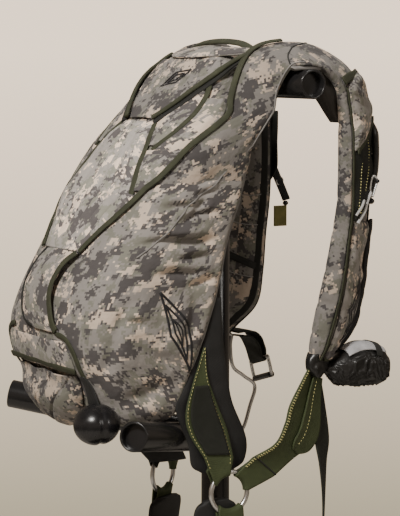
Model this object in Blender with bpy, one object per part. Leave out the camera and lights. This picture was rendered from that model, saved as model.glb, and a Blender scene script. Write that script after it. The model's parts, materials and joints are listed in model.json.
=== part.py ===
"""A packed parachute rig on its pipe display stand.

Metres, +Z up. The origin is on the floor under the post. The wearer's right is +X, the chest side is +Y,
and the packed container hangs on the -Y side of the post.
"""

import math

import bmesh
import bpy
from mathutils import Matrix, Vector

COLLECTION = "packed_parachute"
SIDES = (("R", 1), ("L", -1))

# Cloth and tape, as thicknesses and gaps.
GAP = 0.0003
CLOTH = 0.0016
SEAT = 0.0007  # lift of the first sheet over the packed body
PAD_SEAT = 0.0010  # lift of the padded sheet over the hollow of the back
SECOND = 0.0032  # lift of what is sewn over the first sheets
TAPE_WIDE = 0.0090
TAPE_THICK = 0.0016
WEB_WIDE = 0.044
WEB_THICK = 0.0024

# Stand.
PIPE = 0.0211  # outer radius
WALL = 0.0036
POST_TOP = 1.0600
BAR_Y = 2 * PIPE + 0.0010
BAR_Z = 1.0625
BAR_HALF = 0.200
HUB_Z = 0.528
HUB_HALF = 0.032
HUB_RADIUS = 0.030
ARM_TIP = (0.200, -0.247, 0.586)
PLATE = (0.46, 0.54, 0.010)
PLATE_Y = -0.070

COLOURS = {
    "camouflage": ((0.36, 0.34, 0.31), 0.9, 0.0),
    "tape": ((0.06, 0.065, 0.035), 0.85, 0.0),
    "webbing": ((0.09, 0.10, 0.05), 0.85, 0.0),
    "black_cloth": ((0.02, 0.02, 0.02), 0.9, 0.0),
    "steel": ((0.55, 0.54, 0.52), 0.3, 1.0),
    "ball": ((0.015, 0.015, 0.015), 0.2, 0.0),
    "stand": ((0.012, 0.012, 0.013), 0.3, 0.0),
}

# Packed body, bottom to top: height, back edge, middle of the back, widest line and spine (all as Y),
# half width and squareness of the section.
BODY = [
    (0.5800, -0.178, -0.178, -0.203, -0.228, 0.076, 3.0),
    (0.5848, -0.149, -0.149, -0.198, -0.240, 0.116, 4.0),
    (0.5980, -0.134, -0.135, -0.193, -0.252, 0.130, 4.0),
    (0.6200, -0.128, -0.131, -0.186, -0.264, 0.136, 4.0),
    (0.6470, -0.1185, -0.123, -0.179, -0.276, 0.1405, 4.0),
    (0.6720, -0.1105, -0.117, -0.173, -0.292, 0.1445, 4.0),
    (0.7100, -0.097, -0.106, -0.160, -0.299, 0.147, 4.0),
    (0.7550, -0.080, -0.092, -0.145, -0.290, 0.147, 3.6),
    (0.7900, -0.070, -0.082, -0.135, -0.277, 0.147, 3.2),
    (0.8300, -0.061, -0.072, -0.120, -0.254, 0.147, 3.0),
    (0.8600, -0.052, -0.064, -0.110, -0.235, 0.147, 3.0),
    (0.9000, -0.038, -0.054, -0.095, -0.212, 0.147, 3.0),
    (0.9300, -0.028, -0.046, -0.085, -0.190, 0.145, 3.0),
    (0.9740, -0.015, -0.038, -0.070, -0.156, 0.139, 3.0),
    (1.0100, -0.010, -0.036, -0.057, -0.123, 0.126, 3.0),
    (1.0300, -0.010, -0.036, -0.050, -0.106, 0.117, 3.0),
    (1.0600, -0.012, -0.034, -0.044, -0.080, 0.106, 3.0),
    (1.0850, -0.014, -0.030, -0.036, -0.058, 0.094, 2.8),
    (1.0970, -0.016, -0.026, -0.031, -0.048, 0.078, 2.6),
    (1.1040, -0.020, -0.026, -0.032, -0.042, 0.060, 2.4),
]
BODY_STEPS = 40
BACK_SQUARE = 11.0  # the back half's section is squarer, because its edge is corded

# Lines over the outer face, as (height, angle): 0 is the right side, 90 the spine, 180 the left side.
# They are the right hand's lines, and the left hand's mirror them.
LONG_LINE = [(0.826, 76), (0.861, 66), (0.895, 53), (0.917, 46), (0.939, 38), (0.962, 29)]
CENTRE_LINE = [(0.906, 56), (0.919, 59), (0.947, 65), (0.973, 69), (1.003, 76)]
INNER_LINE = [(0.968, 61), (0.977, 57), (0.993, 48), (1.019, 35), (1.041, 28), (1.058, 27)]
ROLL_LINE = [(1.009, 80), (1.021, 72.6), (1.034, 63), (1.0465, 52.7), (1.0585, 40.2), (1.070, 25), (1.077, 16)]
LONG_UPPER = [(0.962, 29), (1.001, 13), (1.031, 4), (1.056, 0)]  # where the strap goes on over it
SIDE_LINE = [
    (0.711, 70.5), (0.707, 66.4), (0.699, 62.0), (0.6825, 57.9), (0.666, 55.8), (0.645, 54.3), (0.6305, 51.4),
]
MARGIN = 1.2  # degrees kept between a sheet's edge and the line that it ends on
# Tongue: height, extra lift, right edge and left edge (as X), its lower corner drawn out to the right.
TONGUE = [
    (0.7165, -0.0026, 0.074, 0.004), (0.7250, -0.0016, 0.066, -0.026), (0.7450, 0.0020, 0.052, -0.042),
    (0.7655, 0.0040, 0.043, -0.047), (0.7865, 0.0040, 0.042, -0.046), (0.8060, 0.0030, 0.047, -0.040),
    (0.8230, 0.0000, 0.058, -0.034),
]
# Bottom flap: height, right edge and left edge (as X).
BOTTOM_FLAP = [
    (0.666, 0.099, -0.099), (0.685, 0.0975, -0.0975), (0.700, 0.090, -0.090), (0.706, 0.083, -0.083),
]
# Pouch: height, bulge, right edge and left edge (as X).
POUCH = [
    (0.5885, 0.012, 0.045, -0.050), (0.6030, 0.022, 0.066, -0.078), (0.6180, 0.024, 0.080, -0.090),
    (0.6360, 0.019, 0.090, -0.094), (0.6580, 0.004, 0.095, -0.096),
]
BALL = (0.124, -0.2687, 0.5892)
BALL_RADIUS = 0.029
BALL_SHAPE = (1.08, 1.10, 0.97)

# Root of the right shoulder strap, lying on the body: height and angle of its lateral edge, then of its
# neck edge, and the pad's thickness.
STRAP_ROOT = [
    (0.930, -40, 0.930, 38, 0.0015),
    (0.952, -43, 0.950, 31, 0.0050),
    (0.974, -44, 0.974, 23, 0.0100),
]
# The same strap over the shoulder and down the chest: outer face's lateral edge and neck edge (X, Y, Z),
# then the pad's thickness in the middle and at its lateral edge.
STRAP = [
    ("rise", (0.1560, 0.0060, 1.0250), (0.1340, -0.0640, 1.0160), 0.014, 0.004),
    ("nape", (0.1620, 0.0080, 1.0560), (0.1160, -0.0360, 1.0700), 0.015, 0.004),
    ("shoulder", (0.1820, 0.0160, 1.0870), (0.1070, -0.0060, 1.1070), 0.016, 0.004),
    ("crown", (0.1900, 0.0310, 1.0920), (0.1120, 0.0330, 1.1210), 0.016, 0.004),
    ("bar", (0.1900, 0.0600, 1.0900), (0.1180, 0.0810, 1.1210), 0.016, 0.005),
    ("over", (0.1860, 0.0880, 1.0780), (0.1240, 0.1210, 1.1060), 0.018, 0.010),
    ("fall", (0.1830, 0.1060, 1.0590), (0.1300, 0.1520, 1.0830), 0.020, 0.014),
    ("chest", (0.1830, 0.1130, 1.0320), (0.1340, 0.1770, 1.0440), 0.021, 0.016),
    ("ring", (0.1830, 0.1190, 0.9810), (0.1380, 0.1820, 0.9860), 0.023, 0.020),
    ("mid", (0.1830, 0.1200, 0.8950), (0.1380, 0.1810, 0.8890), 0.024, 0.022),
    ("low", (0.1830, 0.1120, 0.8300), (0.1380, 0.1730, 0.8150), 0.026, 0.025),
    ("waist", (0.1810, 0.1050, 0.7790), (0.1360, 0.1670, 0.7590), 0.029, 0.028),
    ("taper", (0.1780, 0.0930, 0.7240), (0.1340, 0.1550, 0.7080), 0.030, 0.029),
    ("end", (0.1740, 0.0790, 0.6770), (0.1400, 0.1190, 0.6730), 0.024, 0.023),
    ("tip", (0.1700, 0.0690, 0.6560), (0.1450, 0.0960, 0.6490), 0.012, 0.011),
]
STRAP_STEPS = 4
# Stations of the smoothed strap between which each thing sewn on it lies.
STRAP_TAPE = (26, 52)
UPPER_COVER = (26, 32)
RISER = (33, 38)
LOWER_COVER = (39, 54)
CROSS_BAND = 24
LONG_TAPE_END = 12
STRAP_ACROSS = (0, 0.1, 0.25, 0.4, 0.55, 0.7, 0.85, 0.95, 1)
ROOT_SEAT = 0.0015
EDGE_THIN = 0.0012
WEARER = Vector((0.0, 0.06, 0.95))

# Yoke between the shoulders, along X: half length, the back and front edge (Y, Z of the top face), thickness.
YOKE_HALF = 0.1055
YOKE_SWEEP = 0.034  # how far its back edge comes forward at the shoulders
YOKE_BACK = (-0.040, 1.1100)
YOKE_FRONT = (0.014, 1.1110)
YOKE_THICK = 0.0075
YOKE_RISE = 0.005
LIP_HALF = 0.094

# Harness below the straps, right side: the two edges of each length of webbing, top to bottom.
LIFT_WEB = [
    ((0.1655, 0.0625, 0.6550), (0.1500, 0.0915, 0.6480)),
    ((0.1700, 0.0430, 0.6300), (0.1500, 0.0860, 0.6090)),
    ((0.1700, 0.0250, 0.6000), (0.1510, 0.0820, 0.5600)),
    ((0.1700, 0.0170, 0.5740), (0.1520, 0.0680, 0.5340)),
    ((0.1690, 0.0010, 0.5460), (0.1550, 0.0350, 0.5150)),
    ((0.1620, -0.0330, 0.5280), (0.1570, 0.0060, 0.4960)),
    ((0.1553, -0.0560, 0.5100), (0.1553, -0.0300, 0.4760)),
]
HIP_WEB = [
    ((0.1400, -0.1010, 0.6900), (0.1400, -0.0870, 0.6900)),
    ((0.1430, -0.1210, 0.6400), (0.1430, -0.0920, 0.6400)),
    ((0.1440, -0.1320, 0.6000), (0.1440, -0.0830, 0.6000)),
    ((0.1460, -0.1270, 0.5700), (0.1460, -0.0720, 0.5700)),
    ((0.1530, -0.1080, 0.5350), (0.1530, -0.0620, 0.5300)),
    ((0.1560, -0.0980, 0.5040), (0.1560, -0.0580, 0.5040)),
]
HIP_PAD = [
    (0.760, -0.0812, -0.0700), (0.700, -0.0995, -0.0660), (0.645, -0.1175, -0.0580),
    (0.600, -0.1262, -0.0500), (0.545, -0.1222, -0.0270), (0.520, -0.1180, -0.0300),
    (0.508, -0.1020, -0.0480),
]
HIP_PAD_X = (0.1280, 0.1385)
HIP_RING = (0.150, -0.065, 0.479)
HIP_SHIFT = Vector((0.0, 0.057, -0.033))  # how far the left side's ring hangs forward and down
SWING = math.radians(28)  # how far the left side's ring and what hangs on it turn outwards
SWING_HEIGHTS = (0.524, 0.4880)  # where the webbing starts to turn and where it has turned all the way
RING_RADIUS = 0.0300
RING_WIRE = 0.0035
LEG_STRAP = [(0.460, 0.0), (0.400, 0.003), (0.300, 0.000), (0.200, -0.004), (0.120, -0.002)]
LEG_PAD = [(0.468, 0.020), (0.450, 0.036), (0.380, 0.040), (0.240, 0.040), (0.180, 0.034), (0.160, 0.020)]
FREE_STRAP = [
    (0.6505, 0.0740, 0.0900), (0.600, 0.0790, 0.1000), (0.542, 0.0830, 0.1080), (0.480, 0.0880, 0.1080),
    (0.425, 0.0900, 0.1070), (0.360, 0.0920, 0.1060),
]
FREE_STRAP_X = 0.148
BUNDLE = [
    (0.0969, 0.6466, 0.007, 0.0045), (0.116, 0.643, 0.018, 0.0195), (0.132, 0.647, 0.022, 0.026),
    (0.152, 0.649, 0.023, 0.031), (0.174, 0.648, 0.023, 0.030), (0.194, 0.645, 0.021, 0.025),
    (0.204, 0.643, 0.016, 0.017),
]
BUNDLE_X = 0.152
KEEPER_HALF = 0.013

# Fittings of the left side, as (Y, Z) of their centre lines.
FITTINGS_X = -0.140
ADAPTER_WEB = [(0.1130, 0.6649), (0.132, 0.664), (0.148, 0.657), (0.159, 0.636), (0.162, 0.618)]
ADAPTER_BARS = ((0.1640, 0.6160), (0.172, 0.585))
ADAPTER_HALF = 0.026
ADAPTER_WIRE = 0.0028
WIRE_HANDLE = [
    (0.113, 0.657), (0.111, 0.640), (0.116, 0.607), (0.138, 0.588), (0.160, 0.571), (0.150, 0.540),
    (0.134, 0.503), (0.114, 0.500), (0.104, 0.540), (0.102, 0.600), (0.1033, 0.6535),
]
WIRE_HANDLE_WIRE = 0.0025


def clear_scene():
    for old in list(bpy.data.objects):
        bpy.data.objects.remove(old, do_unlink=True)


def collection_named(name):
    made = bpy.data.collections.new(name)
    bpy.context.scene.collection.children.link(made)
    return made


def material(name):
    colour, roughness, metallic = COLOURS[name]
    made = bpy.data.materials.get(name)
    if made:
        return made
    made = bpy.data.materials.new(name)
    made.use_nodes = True
    shader = made.node_tree.nodes["Principled BSDF"]
    shader.inputs["Base Color"].default_value = (*colour, 1)
    shader.inputs["Roughness"].default_value = roughness
    shader.inputs["Metallic"].default_value = metallic
    return made


def new_object(name, data, look):
    made = bpy.data.objects.new(name, data)
    data.materials.append(material(look))
    PARTS.objects.link(made)
    return made


def loft(name, rings, look, closed=False):
    """One closed solid through rings of equal count; closed joins the last ring to the first."""
    shape = bmesh.new()
    loops = [[shape.verts.new(point) for point in ring] for ring in rings]
    pairs = list(zip(loops, loops[1:]))
    if closed:
        pairs.append((loops[-1], loops[0]))
    for low, high in pairs:
        for i in range(len(low)):
            j = (i + 1) % len(low)
            shape.faces.new((low[i], low[j], high[j], high[i]))
    if not closed:
        for ring in (loops[0], loops[-1]):
            shape.faces.new(ring)
    bmesh.ops.recalc_face_normals(shape, faces=shape.faces)
    data = bpy.data.meshes.new(name)
    shape.to_mesh(data)
    shape.free()
    data.shade_smooth()
    data.set_sharp_from_angle(angle=math.radians(40))
    return new_object(name, data, look)


def tube(name, points, radius, look, cyclic=False, sides=2):
    """A bent wire or pipe as a curve with round section and filled ends."""
    data = bpy.data.curves.new(name, "CURVE")
    data.dimensions = "3D"
    data.bevel_depth = radius
    data.bevel_resolution = sides
    data.use_fill_caps = not cyclic
    line = data.splines.new("POLY")
    line.points.add(len(points) - 1)
    for spot, point in zip(line.points, points):
        spot.co = (*point, 1)
    line.use_cyclic_u = cyclic
    return new_object(name, data, look)


def smooth_path(points, steps):
    """A Catmull-Rom curve through points of any dimension, steps to each span."""
    points = [Vector(point) for point in points]
    ends = [2 * points[0] - points[1], *points, 2 * points[-1] - points[-2]]
    path = []
    for a, b, c, d in zip(ends, ends[1:], ends[2:], ends[3:]):
        for i in range(steps):
            t = i / steps
            bend = (2 * a - 5 * b + 4 * c - d) * t**2 + (3 * b - a - 3 * c + d) * t**3
            path.append(0.5 * (2 * b + (c - a) * t + bend))
    return [*path, points[-1]]


def between(table, key):
    """The row of a table at this first value, worked out between its neighbours."""
    key = min(max(key, table[0][0]), table[-1][0])
    for low, high in zip(table, table[1:]):
        if key <= high[0]:
            share = (key - low[0]) / (high[0] - low[0])
            return [a + (b - a) * share for a, b in zip(low, high)]


def power(value, exponent):
    return math.copysign(abs(value) ** exponent, value)


def section_point(height, angle):
    """A point on the packed body's skin."""
    _, edge, middle, widest, spine, half, square = between(BODY, height)
    across, out = math.cos(math.radians(angle)), math.sin(math.radians(angle))
    if out >= 0:
        across, out = power(across, 2 / square), out ** (2 / square)
    else:
        reach = (abs(across) ** BACK_SQUARE + abs(out) ** BACK_SQUARE) ** (1 / BACK_SQUARE)
        across, out = across / reach, out / reach
    hollow = max(0.0, 1 - (across / 0.75) ** 2)
    back = edge + (middle - edge) * hollow
    depth = spine - widest if out >= 0 else back - widest
    return Vector((across * half, widest + depth * abs(out), height))


def skin(height, angle, lift=0.0):
    """The packed body's skin, raised along its normal."""
    point = section_point(height, angle)
    if not lift:
        return point
    up = section_point(height + 0.004, angle) - section_point(height - 0.004, angle)
    around = section_point(height, angle + 1.5) - section_point(height, angle - 1.5)
    return point + around.cross(up).normalized() * -lift


def skin_normal(height, angle):
    return (skin(height, angle, 0.001) - skin(height, angle)).normalized()


def mirrored(points, side):
    return [Vector((point[0] * side, point[1], point[2])) for point in points]


def heights(low, high, most=0.02):
    """Heights from low to high that take in the body's own rows between them."""
    rows = [low] + [row[0] for row in BODY if low + 0.003 < row[0] < high - 0.003] + [high]
    filled = []
    for a, b in zip(rows, rows[1:]):
        parts = max(1, math.ceil((b - a) / most))
        filled += [a + (b - a) * i / parts for i in range(parts)]
    return [*filled, high]


def sheet(name, rows, look):
    """A closed sheet from rows of (under, over) point pairs."""
    shape = bmesh.new()
    under = [[shape.verts.new(pair[0]) for pair in row] for row in rows]
    over = [[shape.verts.new(pair[1]) for pair in row] for row in rows]
    tall, wide = len(rows), len(rows[0])
    for i in range(tall - 1):
        for j in range(wide - 1):
            shape.faces.new((under[i][j], under[i][j + 1], under[i + 1][j + 1], under[i + 1][j]))
            shape.faces.new((over[i][j], over[i + 1][j], over[i + 1][j + 1], over[i][j + 1]))
    edge = [(0, j) for j in range(wide)] + [(i, wide - 1) for i in range(1, tall)]
    edge += [(tall - 1, j) for j in range(wide - 2, -1, -1)] + [(i, 0) for i in range(tall - 2, 0, -1)]
    for (i, j), (k, m) in zip(edge, edge[1:] + edge[:1]):
        shape.faces.new((under[i][j], over[i][j], over[k][m], under[k][m]))
    bmesh.ops.recalc_face_normals(shape, faces=shape.faces)
    data = bpy.data.meshes.new(name)
    shape.to_mesh(data)
    shape.free()
    data.shade_smooth()
    data.set_sharp_from_angle(angle=math.radians(40))
    return new_object(name, data, look)


def panel(name, low, high, left, right, steps, look="camouflage", seat=SEAT, crown=None, side=1):
    """A sheet on the body between two lines, each a function of height that gives an angle."""
    rows = []
    for height in heights(low, high):
        start, end = right(height), left(height)
        row = []
        for i in range(steps + 1):
            share = i / steps
            angle = start + (end - start) * share
            rise = crown(height, share) if crown else 0.0
            pair = (skin(height, angle, seat + rise), skin(height, angle, seat + rise + CLOTH))
            row.append(mirrored(pair, side))
        rows.append(row)
    return sheet(name, rows, look)


def ribbon(name, points, normals, look="tape", wide=TAPE_WIDE, thick=TAPE_THICK, side=1):
    """A flat strip along points, its underside on them and its flat face along the normals."""
    rings = []
    last = len(points) - 1
    for i, (point, normal) in enumerate(zip(points, normals)):
        along = (points[min(i + 1, last)] - points[max(i - 1, 0)]).normalized()
        across = along.cross(normal).normalized() * wide / 2
        up = across.cross(along).normalized() * thick
        shoulder = across * 0.8
        ring = [point - across, point - shoulder + up, point + shoulder + up, point + across]
        rings.append(mirrored(ring, side))
    return loft(name, rings, look)


def skin_ribbon(name, line, lift, steps=3, side=1, **more):
    """A strip over the body along a line of (height, angle) rows."""
    rows = smooth_path([(height, angle, 0) for height, angle in line], steps)
    points = [skin(row[0], row[1], lift) for row in rows]
    normals = [skin_normal(row[0], row[1]) for row in rows]
    return ribbon(name, points, normals, side=side, **more)


def band(name, rows, thick, look, side=1, steps=3):
    """Webbing between two edge lines; rows give its two edges."""
    left = smooth_path([row[0] for row in rows], steps)
    right = smooth_path([row[1] for row in rows], steps)
    rings = []
    for i, (a, b) in enumerate(zip(left, right)):
        ahead = min(i + 1, len(left) - 1)
        behind = max(i - 1, 0)
        along = (left[ahead] + right[ahead] - left[behind] - right[behind]).normalized()
        up = (b - a).cross(along).normalized() * thick / 2
        rings.append(mirrored([a - up, b - up, b + up, a + up], side))
    return loft(name, rings, look)


# ---- The container ----


def line_at(line):
    """A line over the body as a function of height."""
    rows = [(row[0], row[1]) for row in line]
    return lambda height: between(rows, height)[1]


def angle_at(height, x):
    """The angle of the outer face's point at this X."""
    row = between(BODY, height)
    return math.degrees(math.acos(power(x / row[5], row[6] / 2)))


def add_body():
    angles = [360 * i / BODY_STEPS for i in range(BODY_STEPS)]
    rings = [[skin(row[0], angle) for angle in angles] for row in BODY]
    loft("container_body", rings, "camouflage")


def add_back_pad():
    """A dark padded sheet on the back, thinner round its edge."""
    step = 360 / BODY_STEPS
    rows = []
    for height in heights(0.66, 1.01, 0.03):
        row = []
        for i in range(9):
            angle = 26 * step + step * i
            pad = 0.002 + 0.0018 * min(i, 8 - i, 2)
            row.append((skin(height, angle, PAD_SEAT), skin(height, angle, PAD_SEAT + pad)))
        rows.append(row)
    sheet("back_pad", rows, "black_cloth")


def add_outer_flaps():
    long_line, centre, inner, roll = map(line_at, (LONG_LINE, CENTRE_LINE, INNER_LINE, ROLL_LINE))
    low, top = LONG_LINE[0][0], ROLL_LINE[0][0] - 0.003

    def pleats(height, share):
        fade = min(1.0, (height - low) / 0.03, (top - height) / 0.02)
        return 0.0011 * fade * (1 - math.cos(share * 5 * 2 * math.pi))

    def centre_edge(height):
        line = centre if height > CENTRE_LINE[0][0] else long_line
        return line(height) + MARGIN

    def side_outer(height):
        line = long_line if height < LONG_UPPER[0][0] else line_at(LONG_UPPER)
        return line(height) + MARGIN

    def side_inner(height):
        line = centre if height < INNER_LINE[0][0] else inner
        return line(height) - MARGIN

    def inner_outer(height):
        return inner(height) + MARGIN

    def inner_inner(height):
        return min(centre(height), roll(height)) - MARGIN

    panel("centre_flap", low, top, centre_edge, lambda height: 180 - centre_edge(height), 20, crown=pleats)
    panel("reserve_flap", top + 0.004, 1.094, lambda height: roll(height) + MARGIN,
          lambda height: 180 - roll(height) - MARGIN, 16)
    for tag, side in SIDES:
        panel(f"side_cover_{tag}", CENTRE_LINE[0][0] + 0.012, 1.040, side_outer, side_inner, 5, side=side)
        panel(f"inner_cover_{tag}", 0.978, 1.050, inner_outer, inner_inner, 5, side=side)


def add_bindings():
    for tag, side in SIDES:
        skin_ribbon(f"centre_binding_{tag}", CENTRE_LINE, SECOND, side=side)
        skin_ribbon(f"inner_binding_{tag}", INNER_LINE, SECOND, side=side, wide=0.008)
        skin_ribbon(f"reserve_roll_{tag}", ROLL_LINE, SECOND, side=side, wide=0.008, thick=0.004)
        skin_ribbon(f"side_binding_{tag}", SIDE_LINE, SEAT, side=side)


def add_lower_flaps():
    """The tongue over the pin, the bottom flap and the pouch, with their bindings."""
    rows = []
    for height in heights(TONGUE[0][0], TONGUE[-1][0], 0.015):
        _, extra, right, left = between(TONGUE, height)
        rise = SECOND + 0.0004 + extra
        row = []
        for i in range(9):
            angle = angle_at(height, right + (left - right) * i / 8)
            row.append((skin(height, angle, rise), skin(height, angle, rise + CLOTH)))
        rows.append(row)
    sheet("tongue", rows, "camouflage")
    line = [(height, angle_at(height, right - 0.003), extra) for height, extra, right, _ in TONGUE[1:]]
    rows = smooth_path(line, 3)
    points = [skin(row[0], row[1], SECOND + 0.003 + row[2]) for row in rows]
    ribbon("tongue_binding", points, [skin_normal(row[0], row[1]) for row in rows])

    low, high = BOTTOM_FLAP[0][0], BOTTOM_FLAP[-1][0]
    panel("bottom_flap", low, high, lambda height: angle_at(height, between(BOTTOM_FLAP, height)[1]),
          lambda height: angle_at(height, between(BOTTOM_FLAP, height)[2]), 16)
    seam = low + TAPE_WIDE / 2
    right, left = between(BOTTOM_FLAP, seam)[1:]
    edge = [angle_at(seam, right + (left - right) * i / 12) for i in range(13)]
    points = [skin(seam, angle, SECOND) for angle in edge]
    ribbon("bottom_binding", points, [skin_normal(seam, angle) for angle in edge])

    rows = []
    for height in heights(POUCH[0][0], POUCH[-1][0], 0.01):
        _, bulge, right, left = between(POUCH, height)
        row = []
        for i in range(15):
            angle = angle_at(height, right + (left - right) * i / 14)
            out = bulge * (1 - abs(i / 7 - 1) ** 3)
            row.append((skin(height, angle, SEAT), skin(height, angle, SEAT + 0.002 + out)))
        rows.append(row)
    sheet("pouch", rows, "camouflage")


def add_ball():
    """The pouch's handle: a slightly flattened ball, a little wider than it is tall."""
    shape = bmesh.new()
    bmesh.ops.create_uvsphere(shape, u_segments=18, v_segments=12, radius=BALL_RADIUS)
    bmesh.ops.scale(shape, verts=shape.verts, vec=BALL_SHAPE)
    data = bpy.data.meshes.new("ball_handle")
    shape.to_mesh(data)
    shape.free()
    data.shade_smooth()
    new_object("ball_handle", data, "ball").location = BALL


# ---- Yoke and shoulder straps ----


def strap_frames():
    """Down the strap: lateral edge, neck edge, outward normal, thickness in the middle, then at the edge."""
    lateral = smooth_path([row[1] for row in STRAP], STRAP_STEPS)
    neck = smooth_path([row[2] for row in STRAP], STRAP_STEPS)
    pads = smooth_path([(row[3], row[4], 0) for row in STRAP], STRAP_STEPS)
    frames = []
    for i, (outer, inner, pad) in enumerate(zip(lateral, neck, pads)):
        ahead, behind = min(i + 1, len(lateral) - 1), max(i - 1, 0)
        along = lateral[ahead] + neck[ahead] - lateral[behind] - neck[behind]
        out = (inner - outer).cross(along).normalized()
        if out.dot((outer + inner) / 2 - WEARER) < 0:
            out.negate()
        frames.append((outer, inner, out, pad[0], pad[1]))
    return frames


def strap_point(frame, share, lift=0.0):
    """A point on the strap's outer face, share of the way from its lateral edge to its neck edge."""
    outer, inner, out, thick, _ = frame
    crown = 0.2 * thick * 4 * share * (1 - share)
    return outer.lerp(inner, share) + out * (crown + lift)


def pad_depth(share, thick, edge):
    """The pad's thickness across the strap, from its lateral edge to its thin neck edge."""
    rise = min(1.0, share / 0.25)
    fall = min(1.0, (1 - share) / 0.35)
    start = edge + (thick - edge) * math.sin(rise * math.pi / 2)
    return 0.0035 + (start - 0.0035) * math.sin(fall * math.pi / 2)


def strap_rings(frames):
    rings = []
    for low, low_angle, neck, neck_angle, thick in STRAP_ROOT:
        over, under = [], []
        for share in STRAP_ACROSS:
            height = low + (neck - low) * share
            angle = low_angle + (neck_angle - low_angle) * share
            depth = EDGE_THIN + thick * (1 - (2 * share - 1) ** 4)
            over.append(skin(height, angle, ROOT_SEAT + depth))
            under.append(skin(height, angle, ROOT_SEAT))
        rings.append(over + under[::-1])
    for frame in frames:
        over = [strap_point(frame, share) for share in STRAP_ACROSS]
        under = [
            strap_point(frame, share) - frame[2] * pad_depth(share, frame[3], frame[4])
            for share in STRAP_ACROSS
        ]
        rings.append(over + under[::-1])
    return rings


def strap_sheet(name, frames, first, last, left, right, lift, thick, look, side, steps=4):
    """A sheet on the strap's outer face between two shares, each a function of the way down."""
    rows = []
    for i in range(first, last + 1):
        way = (i - first) / (last - first)
        row = []
        for j in range(steps + 1):
            share = left(way) + (right(way) - left(way)) * j / steps
            point = strap_point(frames[i], share, lift)
            row.append(mirrored((point, point + frames[i][2] * thick), side))
        rows.append(row)
    return sheet(name, rows, look)


def add_straps():
    frames = strap_frames()
    rings = strap_rings(frames)
    for tag, side in SIDES:
        loft(f"shoulder_strap_{tag}", [mirrored(ring, side) for ring in rings], "camouflage")
        edge = frames[STRAP_TAPE[0]:STRAP_TAPE[1] + 1]
        points = [strap_point(frame, 0.06, 0.0016) for frame in edge]
        look = "tape" if side > 0 else "black_cloth"
        ribbon(f"strap_binding_{tag}", points, [frame[2] for frame in edge], look, side=side)
        strap_sheet(f"strap_cover_{tag}", frames, *UPPER_COVER, lambda way: 0.18,
                    lambda way: 0.92 - 0.58 * way**4, SEAT, 0.002, "camouflage", side)
        band_frame = frames[CROSS_BAND]
        across = [strap_point(band_frame, 0.10 + 0.82 * i / 6, SEAT + 0.0004) for i in range(7)]
        ribbon(f"strap_band_{tag}", across, [band_frame[2]] * 7, wide=0.013, side=side)
        strap_sheet(f"riser_{tag}", frames, *RISER, lambda way: 0.18, lambda way: 0.94, SEAT, 0.005,
                    "webbing", side)
        add_long_binding(tag, side, frames)
    strap_sheet("lower_cover_R", frames, *LOWER_COVER, lambda way: 0.16, lambda way: 0.96, SEAT, 0.004,
                "camouflage", 1)


def add_long_binding(tag, side, frames):
    """The tape from the tongue up the outer face and on along the strap's neck edge."""
    rows = smooth_path([(height, angle, 0) for height, angle in LONG_LINE[:-2]], 3)
    points = [skin(row[0], row[1], SECOND) for row in rows]
    normals = [skin_normal(row[0], row[1]) for row in rows]
    for _, _, height, angle, thick in STRAP_ROOT:
        points.append(skin(height, angle + 1, SECOND + 0.0014 + 0.25 * thick))
        normals.append(skin_normal(height, angle))
    for frame in frames[:LONG_TAPE_END + 1]:
        points.append(strap_point(frame, 0.97, 0.0024))
        normals.append(frame[2])
    ribbon(f"long_binding_{tag}", points, normals, side=side)


def add_yoke():
    """The pad that joins the shoulders behind the neck, and the bound lip along its front."""
    rings = []
    for i in range(13):
        x = YOKE_HALF * (i / 6 - 1)
        rise = YOKE_RISE * (1 - (x / YOKE_HALF) ** 2)
        ring = []
        for share, depth in ((0, 0.4), (0.15, 0), (0.5, -0.12), (0.85, 0), (1, 0.4), (0.85, 1), (0.15, 1)):
            start = YOKE_BACK[0] + YOKE_SWEEP * (x / YOKE_HALF) ** 2
            y = start + (YOKE_FRONT[0] - start) * share
            z = YOKE_BACK[1] + (YOKE_FRONT[1] - YOKE_BACK[1]) * share + rise - YOKE_THICK * depth
            ring.append(Vector((x, y, z)))
        rings.append(ring)
    loft("yoke", rings, "camouflage")
    points, normals = [], []
    for i in range(13):
        x = LIP_HALF * (i / 6 - 1)
        rise = YOKE_RISE * (1 - (x / YOKE_HALF) ** 2) + 0.003 * (1 - (x / LIP_HALF) ** 2)
        points.append(Vector((x, YOKE_FRONT[0] - 0.004, YOKE_FRONT[1] + rise + 0.0020)))
        normals.append(Vector((0, -0.3, 1)).normalized())
    ribbon("top_lip", points, normals, wide=0.011, thick=0.0022)


# ---- Harness ----


def shifted(rows, amount):
    """Webbing rows moved by more and more of an offset, from none at the top to all of it at the bottom."""
    last = len(rows) - 1
    return [tuple(Vector(point) + amount * (i / last) for point in row) for i, row in enumerate(rows)]


def leaned(rows, amount):
    """Pad rows moved by more and more of an offset from the third row down."""
    last = len(rows) - 1
    moved = []
    for i, (height, back, front) in enumerate(rows):
        share = max(0.0, (i - 2) / (last - 2))
        moved.append((height + amount.z * share, back + amount.y * share, front + amount.y * share))
    return moved


def swung(rings, centre, swing, heights=SWING_HEIGHTS):
    """Sections turned about the upright line through a ring's centre, more and more between two heights."""
    start, full = heights
    turned_rings = []
    for ring in rings:
        turned_ring = []
        for point in ring:
            way = min(1.0, max(0.0, (start - point[2]) / (start - full)))
            turn = Matrix.Rotation(-swing * way * way * (3 - 2 * way), 4, "Z")
            arm = Vector((point[0] - centre.x, point[1] - centre.y, point[2]))
            turned_ring.append(turn @ arm + Vector((centre.x, centre.y, 0)))
        turned_rings.append(turned_ring)
    return turned_rings


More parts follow.
